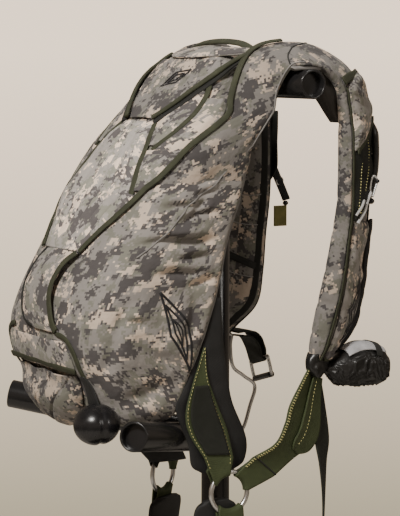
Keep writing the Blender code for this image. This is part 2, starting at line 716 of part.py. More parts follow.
def torus_rings(centre, radius, wire, steps=20, around=8):
    """Sections of a ring that stands in the YZ plane."""
    rings = []
    for i in range(steps):
        turn = 2 * math.pi * i / steps
        arm = Vector((0, math.cos(turn), math.sin(turn)))
        ring = []
        for j in range(around):
            roll = 2 * math.pi * j / around
            aside = Vector((wire * math.sin(roll), 0, 0))
            ring.append(Vector(centre) + arm * (radius + wire * math.cos(roll)) + aside)
        rings.append(ring)
    return rings


def slab_rings(rows, x_inner, x_outer):
    """Sections of a pad that stands near the YZ plane; rows give height, back edge and front edge."""
    rings = []
    for height, back, front in rows:
        soft = (front - back) * 0.15
        ring = [
            (x_inner + 0.002, back), (x_inner, back + soft),
            (x_inner, front - soft), (x_inner + 0.002, front),
            (x_outer - 0.002, front), (x_outer, front - soft),
            (x_outer, back + soft), (x_outer - 0.002, back),
        ]
        rings.append([Vector((x, y, height)) for x, y in ring])
    return rings


def add_side_harness():
    for tag, side in SIDES:
        shift = HIP_SHIFT if side < 0 else Vector((0, 0, 0))
        ring = Vector(HIP_RING) + shift
        swing = SWING if side < 0 else 0.0
        band(f"lift_web_{tag}", swung(shifted(LIFT_WEB, shift), ring, swing), WEB_THICK, "webbing", side)
        band(f"hip_web_{tag}", swung(shifted(HIP_WEB, shift), ring, swing), WEB_THICK, "webbing", side)
        rings = slab_rings(leaned(HIP_PAD, shift), *HIP_PAD_X)
        loft(f"hip_pad_{tag}", [mirrored(row, side) for row in rings], "black_cloth")
        rings = swung(torus_rings(ring, RING_RADIUS, RING_WIRE), ring, swing, (2.0, 1.0))
        loft(f"hip_ring_{tag}", [mirrored(row, side) for row in rings], "steel", closed=True)
        rows = []
        for height, sway in LEG_STRAP:
            point = Vector((ring.x + 0.0052 + sway, ring.y, height + shift.z))
            rows.append((point - Vector((0, WEB_WIDE / 2, 0)), point + Vector((0, WEB_WIDE / 2, 0))))
        band(f"leg_strap_{tag}", swung(rows, ring, swing), WEB_THICK, "webbing", side)
        rows = [(height + shift.z, ring.y - 0.016 - half, ring.y - 0.016 + half) for height, half in LEG_PAD]
        rings = swung(slab_rings(rows, ring.x - 0.016, ring.x - RING_WIRE - 0.0006), ring, swing)
        loft(f"leg_pad_{tag}", [mirrored(row, side) for row in rings], "black_cloth")


def add_chest_bundle():
    """The chest strap rolled up on the right side, its grey keeper, and the free end that hangs."""
    rings = []
    for y, z, deep, tall in BUNDLE:
        ring = []
        for i in range(12):
            turn = 2 * math.pi * i / 12
            across, up = power(math.cos(turn), 0.7), power(math.sin(turn), 0.7)
            ring.append(Vector((BUNDLE_X + deep * across, y, z + tall * up)))
        rings.append(ring)
    loft("chest_bundle_R", rings, "black_cloth")
    rings = []
    y, z, deep, tall = BUNDLE[3]
    for i in range(24):
        turn = 2 * math.pi * i / 24
        arm = Vector((power(math.cos(turn), 0.7), 0, power(math.sin(turn), 0.7)))
        spread = Vector((arm.x * (deep + 0.0008), 0, arm.z * (tall + 0.0012)))
        near, far = spread, spread + arm.normalized() * 0.0018
        middle = Vector((BUNDLE_X, y, z))
        half = Vector((0, KEEPER_HALF, 0))
        rings.append([middle + near - half, middle + far - half, middle + far + half, middle + near + half])
    loft("bundle_keeper_R", rings, "webbing", closed=True)
    rows = []
    for z, back, front in FREE_STRAP:
        rows.append((Vector((FREE_STRAP_X, back, z)), Vector((FREE_STRAP_X - 0.003, front, z))))
    band("free_strap_R", rows, WEB_THICK, "webbing")


def add_left_fittings():
    """The left side's adapter on its webbing, and the wire handle that hangs beside it."""
    half = Vector((0.020, 0, 0))
    lines = [(Vector((FITTINGS_X, *spot)) - half, Vector((FITTINGS_X, *spot)) + half) for spot in ADAPTER_WEB]
    band("adapter_web_L", lines, WEB_THICK, "webbing")
    high, low = ADAPTER_BARS
    corners = ((-1, high), (1, high), (1, low), (-1, low))
    points = [(FITTINGS_X + way * ADAPTER_HALF, *spot) for way, spot in corners]
    tube("adapter_L", points, ADAPTER_WIRE, "steel", cyclic=True)
    points = [(FITTINGS_X - 0.002, *spot) for spot in WIRE_HANDLE]
    tube("wire_handle_L", points, WIRE_HANDLE_WIRE, "steel", cyclic=True)


# ---- Stand ----


def ring_across(centre, axis, radius, steps=24):
    """A circle of points round an axis."""
    side = axis.orthogonal().normalized()
    other = axis.cross(side).normalized()
    turns = [2 * math.pi * i / steps for i in range(steps)]
    return [centre + (side * math.cos(turn) + other * math.sin(turn)) * radius for turn in turns]


def pipe(name, start, end, recess=0.012):
    """A pipe whose ends are open to a plug a little way in."""
    start, end = Vector(start), Vector(end)
    axis = (end - start).normalized()
    inner = PIPE - WALL
    rings = [ring_across(start + axis * recess, axis, inner), ring_across(start, axis, inner),
             ring_across(start, axis, PIPE), ring_across(end, axis, PIPE), ring_across(end, axis, inner),
             ring_across(end - axis * recess, axis, inner)]
    return loft(name, rings, "stand")


def rod(name, start, end, radius, look="stand"):
    start, end = Vector(start), Vector(end)
    axis = (end - start).normalized()
    return loft(name, [ring_across(start, axis, radius), ring_across(end, axis, radius)], look)


def helper(cutter):
    """Sets a shape aside as one that only changes another."""
    cutter.hide_render = True
    cutter.display_type = "WIRE"
    PARTS.objects.unlink(cutter)
    CUTTERS.objects.link(cutter)


def combine(target, other, operation):
    change = target.modifiers.new(other.name, "BOOLEAN")
    change.operation = operation
    change.object = other
    helper(other)


def box(name, size, centre, corner=0.0):
    """A plain block, its upright edges rounded by corner."""
    shape = bmesh.new()
    bmesh.ops.create_cube(shape, size=1)
    bmesh.ops.scale(shape, verts=shape.verts, vec=size)
    if corner:
        upright = [edge for edge in shape.edges if abs(edge.verts[0].co.z - edge.verts[1].co.z) > size[2] / 2]
        bmesh.ops.bevel(shape, geom=upright, offset=corner, segments=4, affect="EDGES")
    bmesh.ops.translate(shape, verts=shape.verts, vec=centre)
    data = bpy.data.meshes.new(name)
    shape.to_mesh(data)
    shape.free()
    return new_object(name, data, "stand")


def turned(name, profile):
    """A turned shape round the post from (height, radius) rows."""
    rings = [ring_across(Vector((0, 0, z)), Vector((0, 0, 1)), radius) for z, radius in profile]
    return loft(name, rings, "stand")


def add_stand():
    """Base plate with its post socket, post, cradle and crossbar."""
    top = PLATE[2]
    plate = box("base_plate", PLATE, (0, PLATE_Y, top / 2), 0.03)
    outline = [(top / 2, 0.055), (top + 0.008, 0.055), (top + 0.012, 0.032), (top + 0.040, 0.030)]
    socket = turned("socket", outline)
    combine(plate, socket, "UNION")
    combine(plate, rod("post_socket_hole", (0, 0, top), (0, 0, top + 0.1), PIPE + GAP), "DIFFERENCE")
    rod("post", (0, 0, top + GAP), (0, 0, POST_TOP), PIPE)

    cradle = turned("cradle", [(HUB_Z - HUB_HALF, HUB_RADIUS), (HUB_Z + HUB_HALF, HUB_RADIUS)])
    direction = (Vector(ARM_TIP) - Vector((0, 0, HUB_Z))).normalized()
    for tag, side in SIDES:
        start = Vector((0, 0, HUB_Z)) + direction * 0.005
        combine(cradle, pipe(f"arm_{tag}", *mirrored((start, ARM_TIP), side)), "UNION")
    hole = rod("cradle_hole", (0, 0, HUB_Z - 0.1), (0, 0, HUB_Z + 0.1), PIPE + GAP)
    combine(cradle, hole, "DIFFERENCE")
    pipe("crossbar", (-BAR_HALF, BAR_Y, BAR_Z), (BAR_HALF, BAR_Y, BAR_Z))


def add_clamp():
    """The block that holds the crossbar to the front of the post."""
    back, front = -PIPE - 0.0050, BAR_Y + PIPE + 0.0060
    block = box("bar_clamp", (0.056, front - back, 0.050), (0, (front + back) / 2, BAR_Z))
    post_hole = rod("clamp_post_hole", (0, 0, BAR_Z - 0.05), (0, 0, BAR_Z + 0.05), PIPE + GAP)
    bar_hole = rod("clamp_bar_hole", (-0.05, BAR_Y, BAR_Z), (0.05, BAR_Y, BAR_Z), PIPE + GAP)
    combine(block, post_hole, "DIFFERENCE")
    combine(block, bar_hole, "DIFFERENCE")


clear_scene()
PARTS = collection_named(COLLECTION)
CUTTERS = collection_named("cutters")
add_body()
add_back_pad()
add_outer_flaps()
add_bindings()
add_lower_flaps()
add_ball()
add_straps()
add_yoke()
add_side_harness()
add_chest_bundle()
add_left_fittings()
add_stand()
add_clamp()
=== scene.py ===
"""A packed parachute rig hung on its pipe stand: cloth, webbing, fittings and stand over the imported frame."""

import json
import math

import bmesh
import bpy
import numpy as np
from mathutils import Matrix, Vector

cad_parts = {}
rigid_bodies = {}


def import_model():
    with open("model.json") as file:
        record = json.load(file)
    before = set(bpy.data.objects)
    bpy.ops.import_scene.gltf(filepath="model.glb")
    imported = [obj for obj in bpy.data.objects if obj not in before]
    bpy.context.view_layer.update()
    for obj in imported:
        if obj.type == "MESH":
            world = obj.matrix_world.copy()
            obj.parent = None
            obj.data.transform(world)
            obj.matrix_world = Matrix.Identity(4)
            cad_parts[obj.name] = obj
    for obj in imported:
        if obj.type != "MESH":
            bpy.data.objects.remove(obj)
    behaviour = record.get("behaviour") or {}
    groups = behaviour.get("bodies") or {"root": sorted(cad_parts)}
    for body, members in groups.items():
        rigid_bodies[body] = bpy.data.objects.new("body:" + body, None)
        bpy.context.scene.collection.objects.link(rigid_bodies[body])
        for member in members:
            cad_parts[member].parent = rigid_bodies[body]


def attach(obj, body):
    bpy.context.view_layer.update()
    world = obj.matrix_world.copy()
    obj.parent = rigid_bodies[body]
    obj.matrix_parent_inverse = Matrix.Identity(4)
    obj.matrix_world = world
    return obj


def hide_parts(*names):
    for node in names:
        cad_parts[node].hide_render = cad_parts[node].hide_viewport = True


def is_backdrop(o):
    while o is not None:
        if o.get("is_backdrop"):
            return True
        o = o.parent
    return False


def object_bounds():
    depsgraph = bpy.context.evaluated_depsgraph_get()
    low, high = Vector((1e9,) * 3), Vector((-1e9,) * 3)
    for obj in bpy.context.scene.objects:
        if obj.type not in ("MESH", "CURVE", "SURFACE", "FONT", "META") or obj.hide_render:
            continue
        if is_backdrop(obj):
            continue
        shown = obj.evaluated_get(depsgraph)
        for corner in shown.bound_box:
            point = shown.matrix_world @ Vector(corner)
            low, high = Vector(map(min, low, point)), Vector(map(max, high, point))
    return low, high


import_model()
cad_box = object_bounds()

# ---- Studio ----
# A pale floor disc in a plain pale room, lit softly from above and from the container's side.
# The camera stands at the rig's right rear quarter, a little above the middle of the rig.

scene = bpy.context.scene


def placed(name, data):
    """A new object in the scene."""
    made = bpy.data.objects.new(name, data)
    scene.collection.objects.link(made)
    return made


def shader_node(tree, kind, *links, **settings):
    """A shader node; links are (input, socket or value) pairs."""
    made = tree.nodes.new(kind)
    for key, value in settings.items():
        setattr(made, key, value)
    for key, source in links:
        if isinstance(source, bpy.types.NodeSocket):
            tree.links.new(source, made.inputs[key])
        else:
            made.inputs[key].default_value = source
    return made


def noise(tree, place, scale, detail, roughness=0.5):
    """The value of a noise over these coordinates."""
    return shader_node(tree, "ShaderNodeTexNoise", ("Vector", place), ("Scale", scale), ("Detail", detail),
                       ("Roughness", roughness)).outputs[0]


def ribs(tree, place, scale, direction, distortion=0.0):
    """The value of even ribs over these coordinates."""
    return shader_node(tree, "ShaderNodeTexWave", ("Vector", place), ("Scale", scale),
                       ("Distortion", distortion), bands_direction=direction).outputs[1]


def ranged(tree, value, low, high, to_low=0.0, to_high=1.0):
    """A value from low to high, mapped to another range."""
    return shader_node(tree, "ShaderNodeMapRange", ("Value", value), ("From Min", low), ("From Max", high),
                       ("To Min", to_low), ("To Max", to_high)).outputs[0]


def mix(tree, factor, first, second, **settings):
    """A mix of two colours, each a socket or its red, green and blue."""
    first, second = (
        part if isinstance(part, bpy.types.NodeSocket) else (*part, 1) for part in (first, second)
    )
    return shader_node(tree, "ShaderNodeMix", ("Factor", factor), (6, first), (7, second), data_type="RGBA",
                       **settings).outputs[2]


def relief(tree, height, strength, distance, *under):
    """A normal with this relief, laid over an earlier normal if one is given."""
    return shader_node(tree, "ShaderNodeBump", ("Height", height), ("Strength", strength),
                       ("Distance", distance), *(("Normal", normal) for normal in under)).outputs[0]


def times(colour, factor, least=0.0):
    """A colour made lighter or darker."""
    return tuple(least + factor * part for part in colour)


def finish(name, values, paint):
    """A new material from its shader's values by input, and the sockets that paint(tree) gives by input."""
    look = bpy.data.materials.new(name)
    look.use_nodes = True
    tree = look.node_tree
    shader = tree.nodes["Principled BSDF"]
    for key, value in {"Base Color": (0.5, 0.5, 0.5, 1), **values}.items():
        shader.inputs[key].default_value = value
    for key, socket in paint(tree).items():
        tree.links.new(socket, shader.inputs[key])
    return look


def mottled(name, values, tones, scale, detail, grain=0.5, rough=None, bump=None, place="Object"):
    """A finish of two tones mottled by a noise.

    rough is its range of roughness, and bump its relief's scale, detail, strength and distance.
    """
    def paint(tree):
        spot = shader_node(tree, "ShaderNodeTexCoord").outputs[place]
        blotch = noise(tree, spot, scale, detail, grain)
        sockets = {"Base Color": mix(tree, blotch, *tones)}
        if rough:
            sockets["Roughness"] = ranged(tree, blotch, 0.0, 1.0, *rough)
        if bump:
            sockets["Normal"] = relief(tree, noise(tree, spot, *bump[:2]), *bump[2:])
        return sockets
    return finish(name, values, paint)


def woven(name, roughness, tones, strength, distance, weave):
    """A woven finish; weave(tree, cloth) gives the share of its light tone and its relief's height."""
    def paint(tree):
        tone, height = weave(tree, shader_node(tree, "ShaderNodeUVMap", uv_map="cloth").outputs[0])
        return {"Base Color": mix(tree, tone, *tones), "Normal": relief(tree, height, strength, distance)}
    return finish(name, {"Roughness": roughness}, paint)


camera = placed("camera", bpy.data.cameras.new("camera"))
camera.data.lens = 139.5
camera.location = (2.5722, -1.5119, 1.1136)
camera.rotation_mode = "QUATERNION"
camera.rotation_quaternion = Vector((-0.8613, 0.4973, -0.1045)).to_track_quat("-Z", "Y")
scene.camera = camera

floor_paint = mottled("floor_paint", {"Roughness": 0.7}, ((0.50, 0.47, 0.42), (0.58, 0.55, 0.50)), 3.0, 3.0)
shape = bmesh.new()
bmesh.ops.create_circle(shape, cap_ends=True, segments=128, radius=1.55)
floor = placed("floor", bpy.data.meshes.new("floor"))
shape.to_mesh(floor.data)
shape.free()
floor.data.materials.append(floor_paint)
floor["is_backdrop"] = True

room = bpy.data.worlds.new("room")
room.use_nodes = True
scene.world = room
tree = room.node_tree
background = tree.nodes["Background"]
around = shader_node(tree, "ShaderNodeTexCoord").outputs["Generated"]
upward = shader_node(tree, "ShaderNodeSeparateXYZ", ("Vector", around)).outputs["Z"]
wall = mix(tree, ranged(tree, upward, -0.24, 0.0), (0.56, 0.485, 0.335), (1.84, 1.47, 1.12))
overhead = mix(tree, ranged(tree, upward, 0.25, 0.8), (1, 1, 1), (0.35, 0.35, 0.37))
tree.links.new(mix(tree, 1.0, wall, overhead, blend_type="MULTIPLY"), background.inputs["Color"])
seen = shader_node(tree, "ShaderNodeLightPath").outputs["Is Camera Ray"]
tree.links.new(ranged(tree, seen, 0.0, 1.0, 0.16, 1.0), background.inputs["Strength"])

LIT_SPOT = Vector((0, -0.05, 0.82))
for name, spot, size, power in (
    ("key_light", (1.35, -2.0, 2.7), 0.7, 98.0),
    ("top_light", (-0.5, 0.4, 3.1), 1.0, 20.0),
    ("side_light", (2.7, 1.2, 1.9), 0.8, 12.0),
):
    lamp = placed(name, bpy.data.lights.new(name, "AREA"))
    lamp.data.shape = "DISK"
    lamp.data.size = size
    lamp.data.energy = power
    lamp.data.color = (1.0, 0.96, 0.91)
    lamp.location = spot
    lamp.rotation_mode = "QUATERNION"
    lamp.rotation_quaternion = (LIT_SPOT - Vector(spot)).to_track_quat("-Z", "Y")
    lamp.visible_camera = False

# ---- Container ----
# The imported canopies' container: digital camouflage nylon over a firm filled body, creased where the
# shoulder strap pulls on it. Its skin is given by height and by the angle round it, the spine at 90.

BODY = [  # height, back edge, middle of the back, widest line, spine, half width, squareness
    (0.5800, -0.178, -0.178, -0.203, -0.228, 0.076, 3.0),
    (0.5848, -0.149, -0.149, -0.198, -0.240, 0.116, 4.0),
    (0.5980, -0.134, -0.135, -0.193, -0.252, 0.130, 4.0),
    (0.6200, -0.128, -0.131, -0.186, -0.264, 0.136, 4.0),
    (0.6470, -0.1185, -0.123, -0.179, -0.276, 0.1405, 4.0),
    (0.6720, -0.1105, -0.117, -0.173, -0.292, 0.1445, 4.0),
    (0.7100, -0.097, -0.106, -0.160, -0.299, 0.147, 4.0),
    (0.7550, -0.080, -0.092, -0.145, -0.290, 0.147, 3.6),
    (0.7900, -0.070, -0.082, -0.135, -0.277, 0.147, 3.2),
    (0.8300, -0.061, -0.072, -0.120, -0.254, 0.147, 3.0),
    (0.8600, -0.052, -0.064, -0.110, -0.235, 0.147, 3.0),
    (0.9000, -0.038, -0.054, -0.095, -0.212, 0.147, 3.0),
    (0.9300, -0.028, -0.046, -0.085, -0.190, 0.145, 3.0),
    (0.9740, -0.015, -0.038, -0.070, -0.156, 0.139, 3.0),
    (1.0100, -0.010, -0.036, -0.057, -0.123, 0.126, 3.0),
    (1.0300, -0.010, -0.036, -0.050, -0.106, 0.117, 3.0),
    (1.0600, -0.012, -0.034, -0.044, -0.080, 0.106, 3.0),
    (1.0850, -0.014, -0.030, -0.036, -0.058, 0.094, 2.8),
    (1.0970, -0.016, -0.026, -0.031, -0.048, 0.078, 2.6),
    (1.1040, -0.020, -0.026, -0.032, -0.042, 0.060, 2.4),
]
BACK_SQUARE = 11.0
CREASE_DEEPER = 2.6
CREASES = [  # on the side: Y and Z of one end, Y and Z of the other, width, depth
    (-0.169, 0.887, -0.100, 0.898, 0.0050, 0.0026),
    (-0.144, 0.865, -0.102, 0.899, 0.0036, 0.0018),
    (-0.203, 0.841, -0.104, 0.850, 0.0050, 0.0030),
    (-0.160, 0.839, -0.086, 0.846, 0.0060, 0.0036),
    (-0.180, 0.801, -0.100, 0.799, 0.0055, 0.0034),
    (-0.131, 0.783, -0.085, 0.790, 0.0060, 0.0040),
    (-0.150, 0.818, -0.090, 0.822, 0.0050, 0.0028),
    (-0.231, 0.733, -0.194, 0.727, 0.0060, 0.0024),
    (-0.119, 0.923, -0.080, 0.930, 0.0045, 0.0022),
    (-0.124, 0.908, -0.082, 0.916, 0.0045, 0.0024),
    (-0.135, 0.880, -0.085, 0.884, 0.0045, 0.0022),
    (-0.218, 0.763, -0.248, 0.711, 0.0090, 0.0022),
    (-0.248, 0.711, -0.258, 0.650, 0.0090, 0.0018),
    (-0.150, 0.640, -0.235, 0.618, 0.0120, 0.0028),
    (-0.130, 0.700, -0.118, 0.760, 0.0100, 0.0022),
    (-0.185, 0.690, -0.150, 0.664, 0.0100, 0.0018),
]


def run_through(rows, steps):
    """A smooth curve through the rows of a table, steps to each span."""
    rows = np.asarray(rows, float)
    ends = np.concatenate([[2 * rows[0] - rows[1]], rows, [2 * rows[-1] - rows[-2]]])
    path = []
    for a, b, c, d in zip(ends, ends[1:], ends[2:], ends[3:]):
        for i in range(steps):
            t = i / steps
            bend, twist = 2 * a - 5 * b + 4 * c - d, 3 * b - a - 3 * c + d
            path.append(0.5 * (2 * b + (c - a) * t + bend * t**2 + twist * t**3))
    return np.array([*path, rows[-1]])


def joined(*parts):
    """Points from their X, Y and Z, or rows from their values."""
    return np.stack(np.broadcast_arrays(*parts), -1)


def squared(wave, power):
    """A wave of a turn made squarer, for a section with flat sides and round corners."""
    return np.sign(wave) * np.abs(wave) ** power


def full_turn(count):
    """Even angles round a section."""
    return np.linspace(0, 2 * math.pi, count, endpoint=False)


def unit(vectors):
    return vectors / np.linalg.norm(vectors, axis=-1, keepdims=True)


BODY_FINE = run_through(BODY, 8)


def body_row(height):
    """The body's sizes at these heights."""
    return [np.interp(height, BODY_FINE[:, 0], BODY_FINE[:, k]) for k in range(1, 7)]


def section(height, angle):
    """Points of the container's skin before its creases."""
    edge, middle, widest, spine, half, square = body_row(height)
    across, out = np.cos(np.radians(angle)), np.sin(np.radians(angle))
    power = np.where(out >= 0, square, BACK_SQUARE)
    reach = (np.abs(across) ** power + np.abs(out) ** power) ** (1 / power)
    across, out_share = across / reach, np.abs(out) / reach
    hollow = np.clip(1 - (across / 0.75) ** 2, 0, None)
    depth = np.where(out >= 0, spine, edge + (middle - edge) * hollow) - widest
    return np.stack([across * half, widest + depth * out_share, height + 0 * across], -1)


def lumps(points, size, seed):
    """A smooth random height from -1 to 1 at each point, its waves about this long."""
    rng = np.random.default_rng(seed)
    waves = rng.normal(size=(9, 3))
    lengths = np.linalg.norm(waves, axis=1, keepdims=True)
    waves *= (2 * math.pi / size * rng.uniform(0.6, 1.5, (9, 1))) / lengths
    return np.sin(points @ waves.T + rng.uniform(0, 6.28, 9)).sum(-1) / 4.5


def crease_relief(points, table):
    """How far creases push the side's skin in or out, with a soft ridge above each."""
    depths = np.zeros(points.shape[:-1])
    for y0, z0, y1, z1, width, depth in table:
        start, run = np.array([y0, z0]), np.array([y1 - y0, z1 - z0])
        offset = points[..., 1:] - start
        bend = lumps(points * (0, 1, 1), 0.06, int(abs(y0 * 1e4))) * 0.003
        along = np.clip(offset @ run / (run @ run), 0, 1)
        nearest = offset - along[..., None] * run
        side = (nearest @ np.array([-run[1], run[0]])) / np.linalg.norm(run) + bend
        gone = np.sqrt((nearest**2).sum(-1))
        past_end = np.exp(-((gone - np.abs(side - bend)) / width) ** 2)
        fade = np.sin(np.pi * np.clip(along, 0.04, 0.96)) ** 0.7 * past_end
        ridge = 0.55 * np.exp(-((side - 2.0 * width) / (1.7 * width)) ** 2)
        depths += depth * fade * (ridge - np.exp(-(side / width) ** 2))
    return CREASE_DEEPER * depths


def relief_at(base):
    """The skin's creases and lumps at points of the smooth section."""
    side = np.clip((np.abs(base[..., 0]) / body_row(base[..., 2])[4] - 0.72) / 0.2, 0, 1)
    right = crease_relief(base, CREASES)
    left = crease_relief(base + (0, 0.004, 0.009), CREASES)
    creases = np.where(base[..., 0] > 0, right, left) * side
    low = np.clip((base[..., 2] - 0.585) / 0.03, 0, 1) * np.clip((1.10 - base[..., 2]) / 0.03, 0, 1)
    return creases + low * (0.0010 * lumps(base, 0.11, 3) + 0.0004 * lumps(base, 0.035, 4))


def skin_normals(height, angle):
    """Unit normals of the smooth section."""
    up = section(height + 0.004, angle) - section(height - 0.004, angle)
    around = section(height, angle + 0.8) - section(height, angle - 0.8)
    return unit(np.cross(up, around))


def skin(height, angle, lift=0.0):
    """Points over the container's creased skin."""
    height, angle = np.broadcast_arrays(np.asarray(height, float), np.asarray(angle, float))
    base = section(height, angle)
    return base + skin_normals(height, angle) * (relief_at(base) + lift)[..., None]


def cloth_map(points, start=(0.0, 0.0)):
    """Metres across and along a grid of cloth, from its middle column and first row."""
    across = np.linalg.norm(np.diff(points, axis=1), axis=-1).cumsum(1)
    across = np.concatenate([np.zeros((len(points), 1)), across], 1)
    across -= across[:, [points.shape[1] // 2]]
    along = np.linalg.norm(np.diff(points[:, points.shape[1] // 2], axis=0), axis=-1).cumsum()
    along = np.concatenate([[0.0], along])[:, None] + 0 * across
    return np.stack([across + start[0], along + start[1]], -1)


def piece_of(name, data, look, node=None):
    """A piece of the rig, with its finish and the CAD node that it shows."""
    data.materials.append(look)
    piece = placed(name, data)
    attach(piece, "root")
    if node:
        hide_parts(node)
    return piece


def shaped(name, shape, look, node=None, smooth=True):
    """A piece of the rig from a bmesh shape."""
    data = bpy.data.meshes.new(name)
    shape.to_mesh(data)
    shape.free()
    if smooth:
        data.shade_smooth()
    return piece_of(name, data, look, node)


def thicken(piece, thick, offset=1):
    """Gives a laid grid its cloth's thickness."""
    wall = piece.modifiers.new("wall", "SOLIDIFY")
    wall.thickness = thick
    wall.offset = offset


def laid_grid(name, points, look, node=None, start=(0.0, 0.0), wrap=False, within=(0.0, -0.1, 0.8),
              spread=None):
    """A piece whose grid passes through rows of points; wrap joins its two long edges and closes its ends.

    Its map is in metres of cloth from start, unless spread gives it, and its faces look away from within.
    """
    points = np.asarray(points, float)
    if wrap:
        points = np.concatenate([points, points[:, :1]], 1)
    tall, wide = points.shape[:2]
    shape = bmesh.new()
    bmesh.ops.create_grid(shape, x_segments=wide - 1, y_segments=tall - 1, size=0.5)
    data = bpy.data.meshes.new(name)
    shape.to_mesh(data)
    shape.free()
    flat = np.empty(len(data.vertices) * 3, np.float32)
    data.vertices.foreach_get("co", flat)
    flat = flat.reshape(-1, 3) + 0.5
    column = np.rint(flat[:, 0] * (wide - 1)).astype(int)
    row = np.rint(flat[:, 1] * (tall - 1)).astype(int)
    data.vertices.foreach_set("co", points[row, column].astype(np.float32).ravel())
    spread = cloth_map(points, start) if spread is None else spread
    corners = np.empty(len(data.loops), np.int32)
    data.loops.foreach_get("vertex_index", corners)
    spots = spread[row[corners], column[corners]].astype(np.float32)
    data.uv_layers.new(name="cloth").data.foreach_set("uv", spots.ravel())
    shape = bmesh.new()
    shape.from_mesh(data)
    if wrap:
        bmesh.ops.remove_doubles(shape, verts=shape.verts, dist=1e-6)
        bmesh.ops.holes_fill(shape, edges=shape.edges, sides=0)
        bmesh.ops.recalc_face_normals(shape, faces=shape.faces)
    else:
        shape.normal_update()
        middle = Vector(within)
        facing = sum(face.normal.dot(face.calc_center_median() - middle) for face in shape.faces)
        if facing < 0:
            bmesh.ops.reverse_faces(shape, faces=shape.faces)
    shape.to_mesh(data)
    shape.free()
    data.shade_smooth()
    return piece_of(name, data, look, node)


GROUND = (0.275, 0.255, 0.235)
PRINT_CELL = 0.0030
PRINT_LAYERS = (  # seed, scale, level and colour of the grey green, the slate and the sand
    (3.1, 30.0, 0.520, (0.205, 0.200, 0.165)),
    (7.7, 26.0, 0.522, (0.082, 0.074, 0.073)),
    (13.3, 26.0, 0.558, (0.66, 0.535, 0.425)),
)


def camouflage(name, turn=0.0, shift=0.0, pale=1.0):
    """Printed digital camouflage: square cells of sand, slate and grey green over mid grey."""
    def paint(tree):
        cloth = shader_node(tree, "ShaderNodeUVMap", uv_map="cloth").outputs[0]
        laid = shader_node(tree, "ShaderNodeMapping", ("Vector", cloth),
                           ("Location", (shift, 1.7 * shift, shift)), ("Rotation", (0, 0, turn)))
        cell = shader_node(tree, "ShaderNodeVectorMath", (0, laid.outputs[0]),
                           (1, (PRINT_CELL, PRINT_CELL, 1.0)), operation="SNAP")
        colour = times(GROUND, pale)
        for seed, scale, level, tint in PRINT_LAYERS:
            spot = shader_node(tree, "ShaderNodeVectorMath", (0, cell.outputs[0]), (1, (seed, seed, seed)))
            inside = ranged(tree, noise(tree, spot.outputs[0], scale, 6.0, 0.74), level - 0.006,
                            level + 0.006)
            colour = mix(tree, inside, colour, times(tint, pale))
        faded = ranged(tree, noise(tree, cloth, 9.0, 5.0, 0.6), 0.3, 0.7, 0.86, 1.12)
        shaded = shader_node(tree, "ShaderNodeVectorMath", (0, colour), ("Scale", faded), operation="SCALE")
        warp, weft = ribs(tree, cloth, 300.0, "X"), ribs(tree, cloth, 300.0, "Y")
        weave = shader_node(tree, "ShaderNodeMath", (0, warp), (1, weft), operation="MULTIPLY")
        puckered = relief(tree, noise(tree, cloth, 85.0, 3.0), 0.6, 0.003)
        bumps = relief(tree, weave.outputs[0], 0.25, 0.0004, puckered)
        return {"Base Color": shaded.outputs[0], "Normal": bumps}
    return finish(name, {"Roughness": 0.88, "Sheen Weight": 0.08}, paint)


container_cloth = camouflage("container_cloth")
# The straps' camouflage is the container's print made darker by 0.72: painted shade on the straps' faces.
strap_cloth = camouflage("strap_cloth", turn=0.5, shift=33.0, pale=0.72)
heights = np.linspace(BODY[0][0], BODY[-1][0], 200)[:, None]
angles = np.linspace(-90, 270, 361)[None, :-1]
container_points = skin(heights, angles)
container = laid_grid("container", container_points, container_cloth, "container_body",
                      wrap=True)

# ---- Back pad ----
# A black padded sheet against the wearer's back, in quilted rows, thinner round its bound edge.


def dark_cloth(name, colour, roughness=0.8, mesh=260.0):
    """Black or dark woven cloth with a close weave and a little dust."""
    def weave(tree, cloth):
        return noise(tree, cloth, 26.0, 6.0, 0.7), ribs(tree, cloth, mesh, "DIAGONAL")
    return woven(name, roughness, (times(colour, 0.5), times(colour, 1.9, 0.009)), 0.4, 0.0006, weave)


PAD_LOW, PAD_HIGH = 0.660, 1.010
black_cloth = dark_cloth("black_cloth", (0.012, 0.012, 0.012))
heights = np.linspace(PAD_LOW, PAD_HIGH, 130)[:, None]
shares = np.linspace(0, 1, 60)[None, :]
quilt = np.abs(np.sin((heights - PAD_LOW) / 0.35 * 7 * np.pi)) ** 0.35
quilt = quilt * np.abs(np.sin(shares * 3 * np.pi)) ** 0.35
rim = np.clip(np.minimum(shares, 1 - shares) / 0.06, 0, 1)
rim = rim * np.clip(np.minimum(heights - PAD_LOW, PAD_HIGH - heights) / 0.012, 0, 1)
points = skin(heights, 234 + 72 * shares, 0.0018 + rim * (0.0016 + 0.0022 * quilt))
laid_grid("back_padding", points, black_cloth, "back_pad", within=(0.0, -0.2, 0.8))
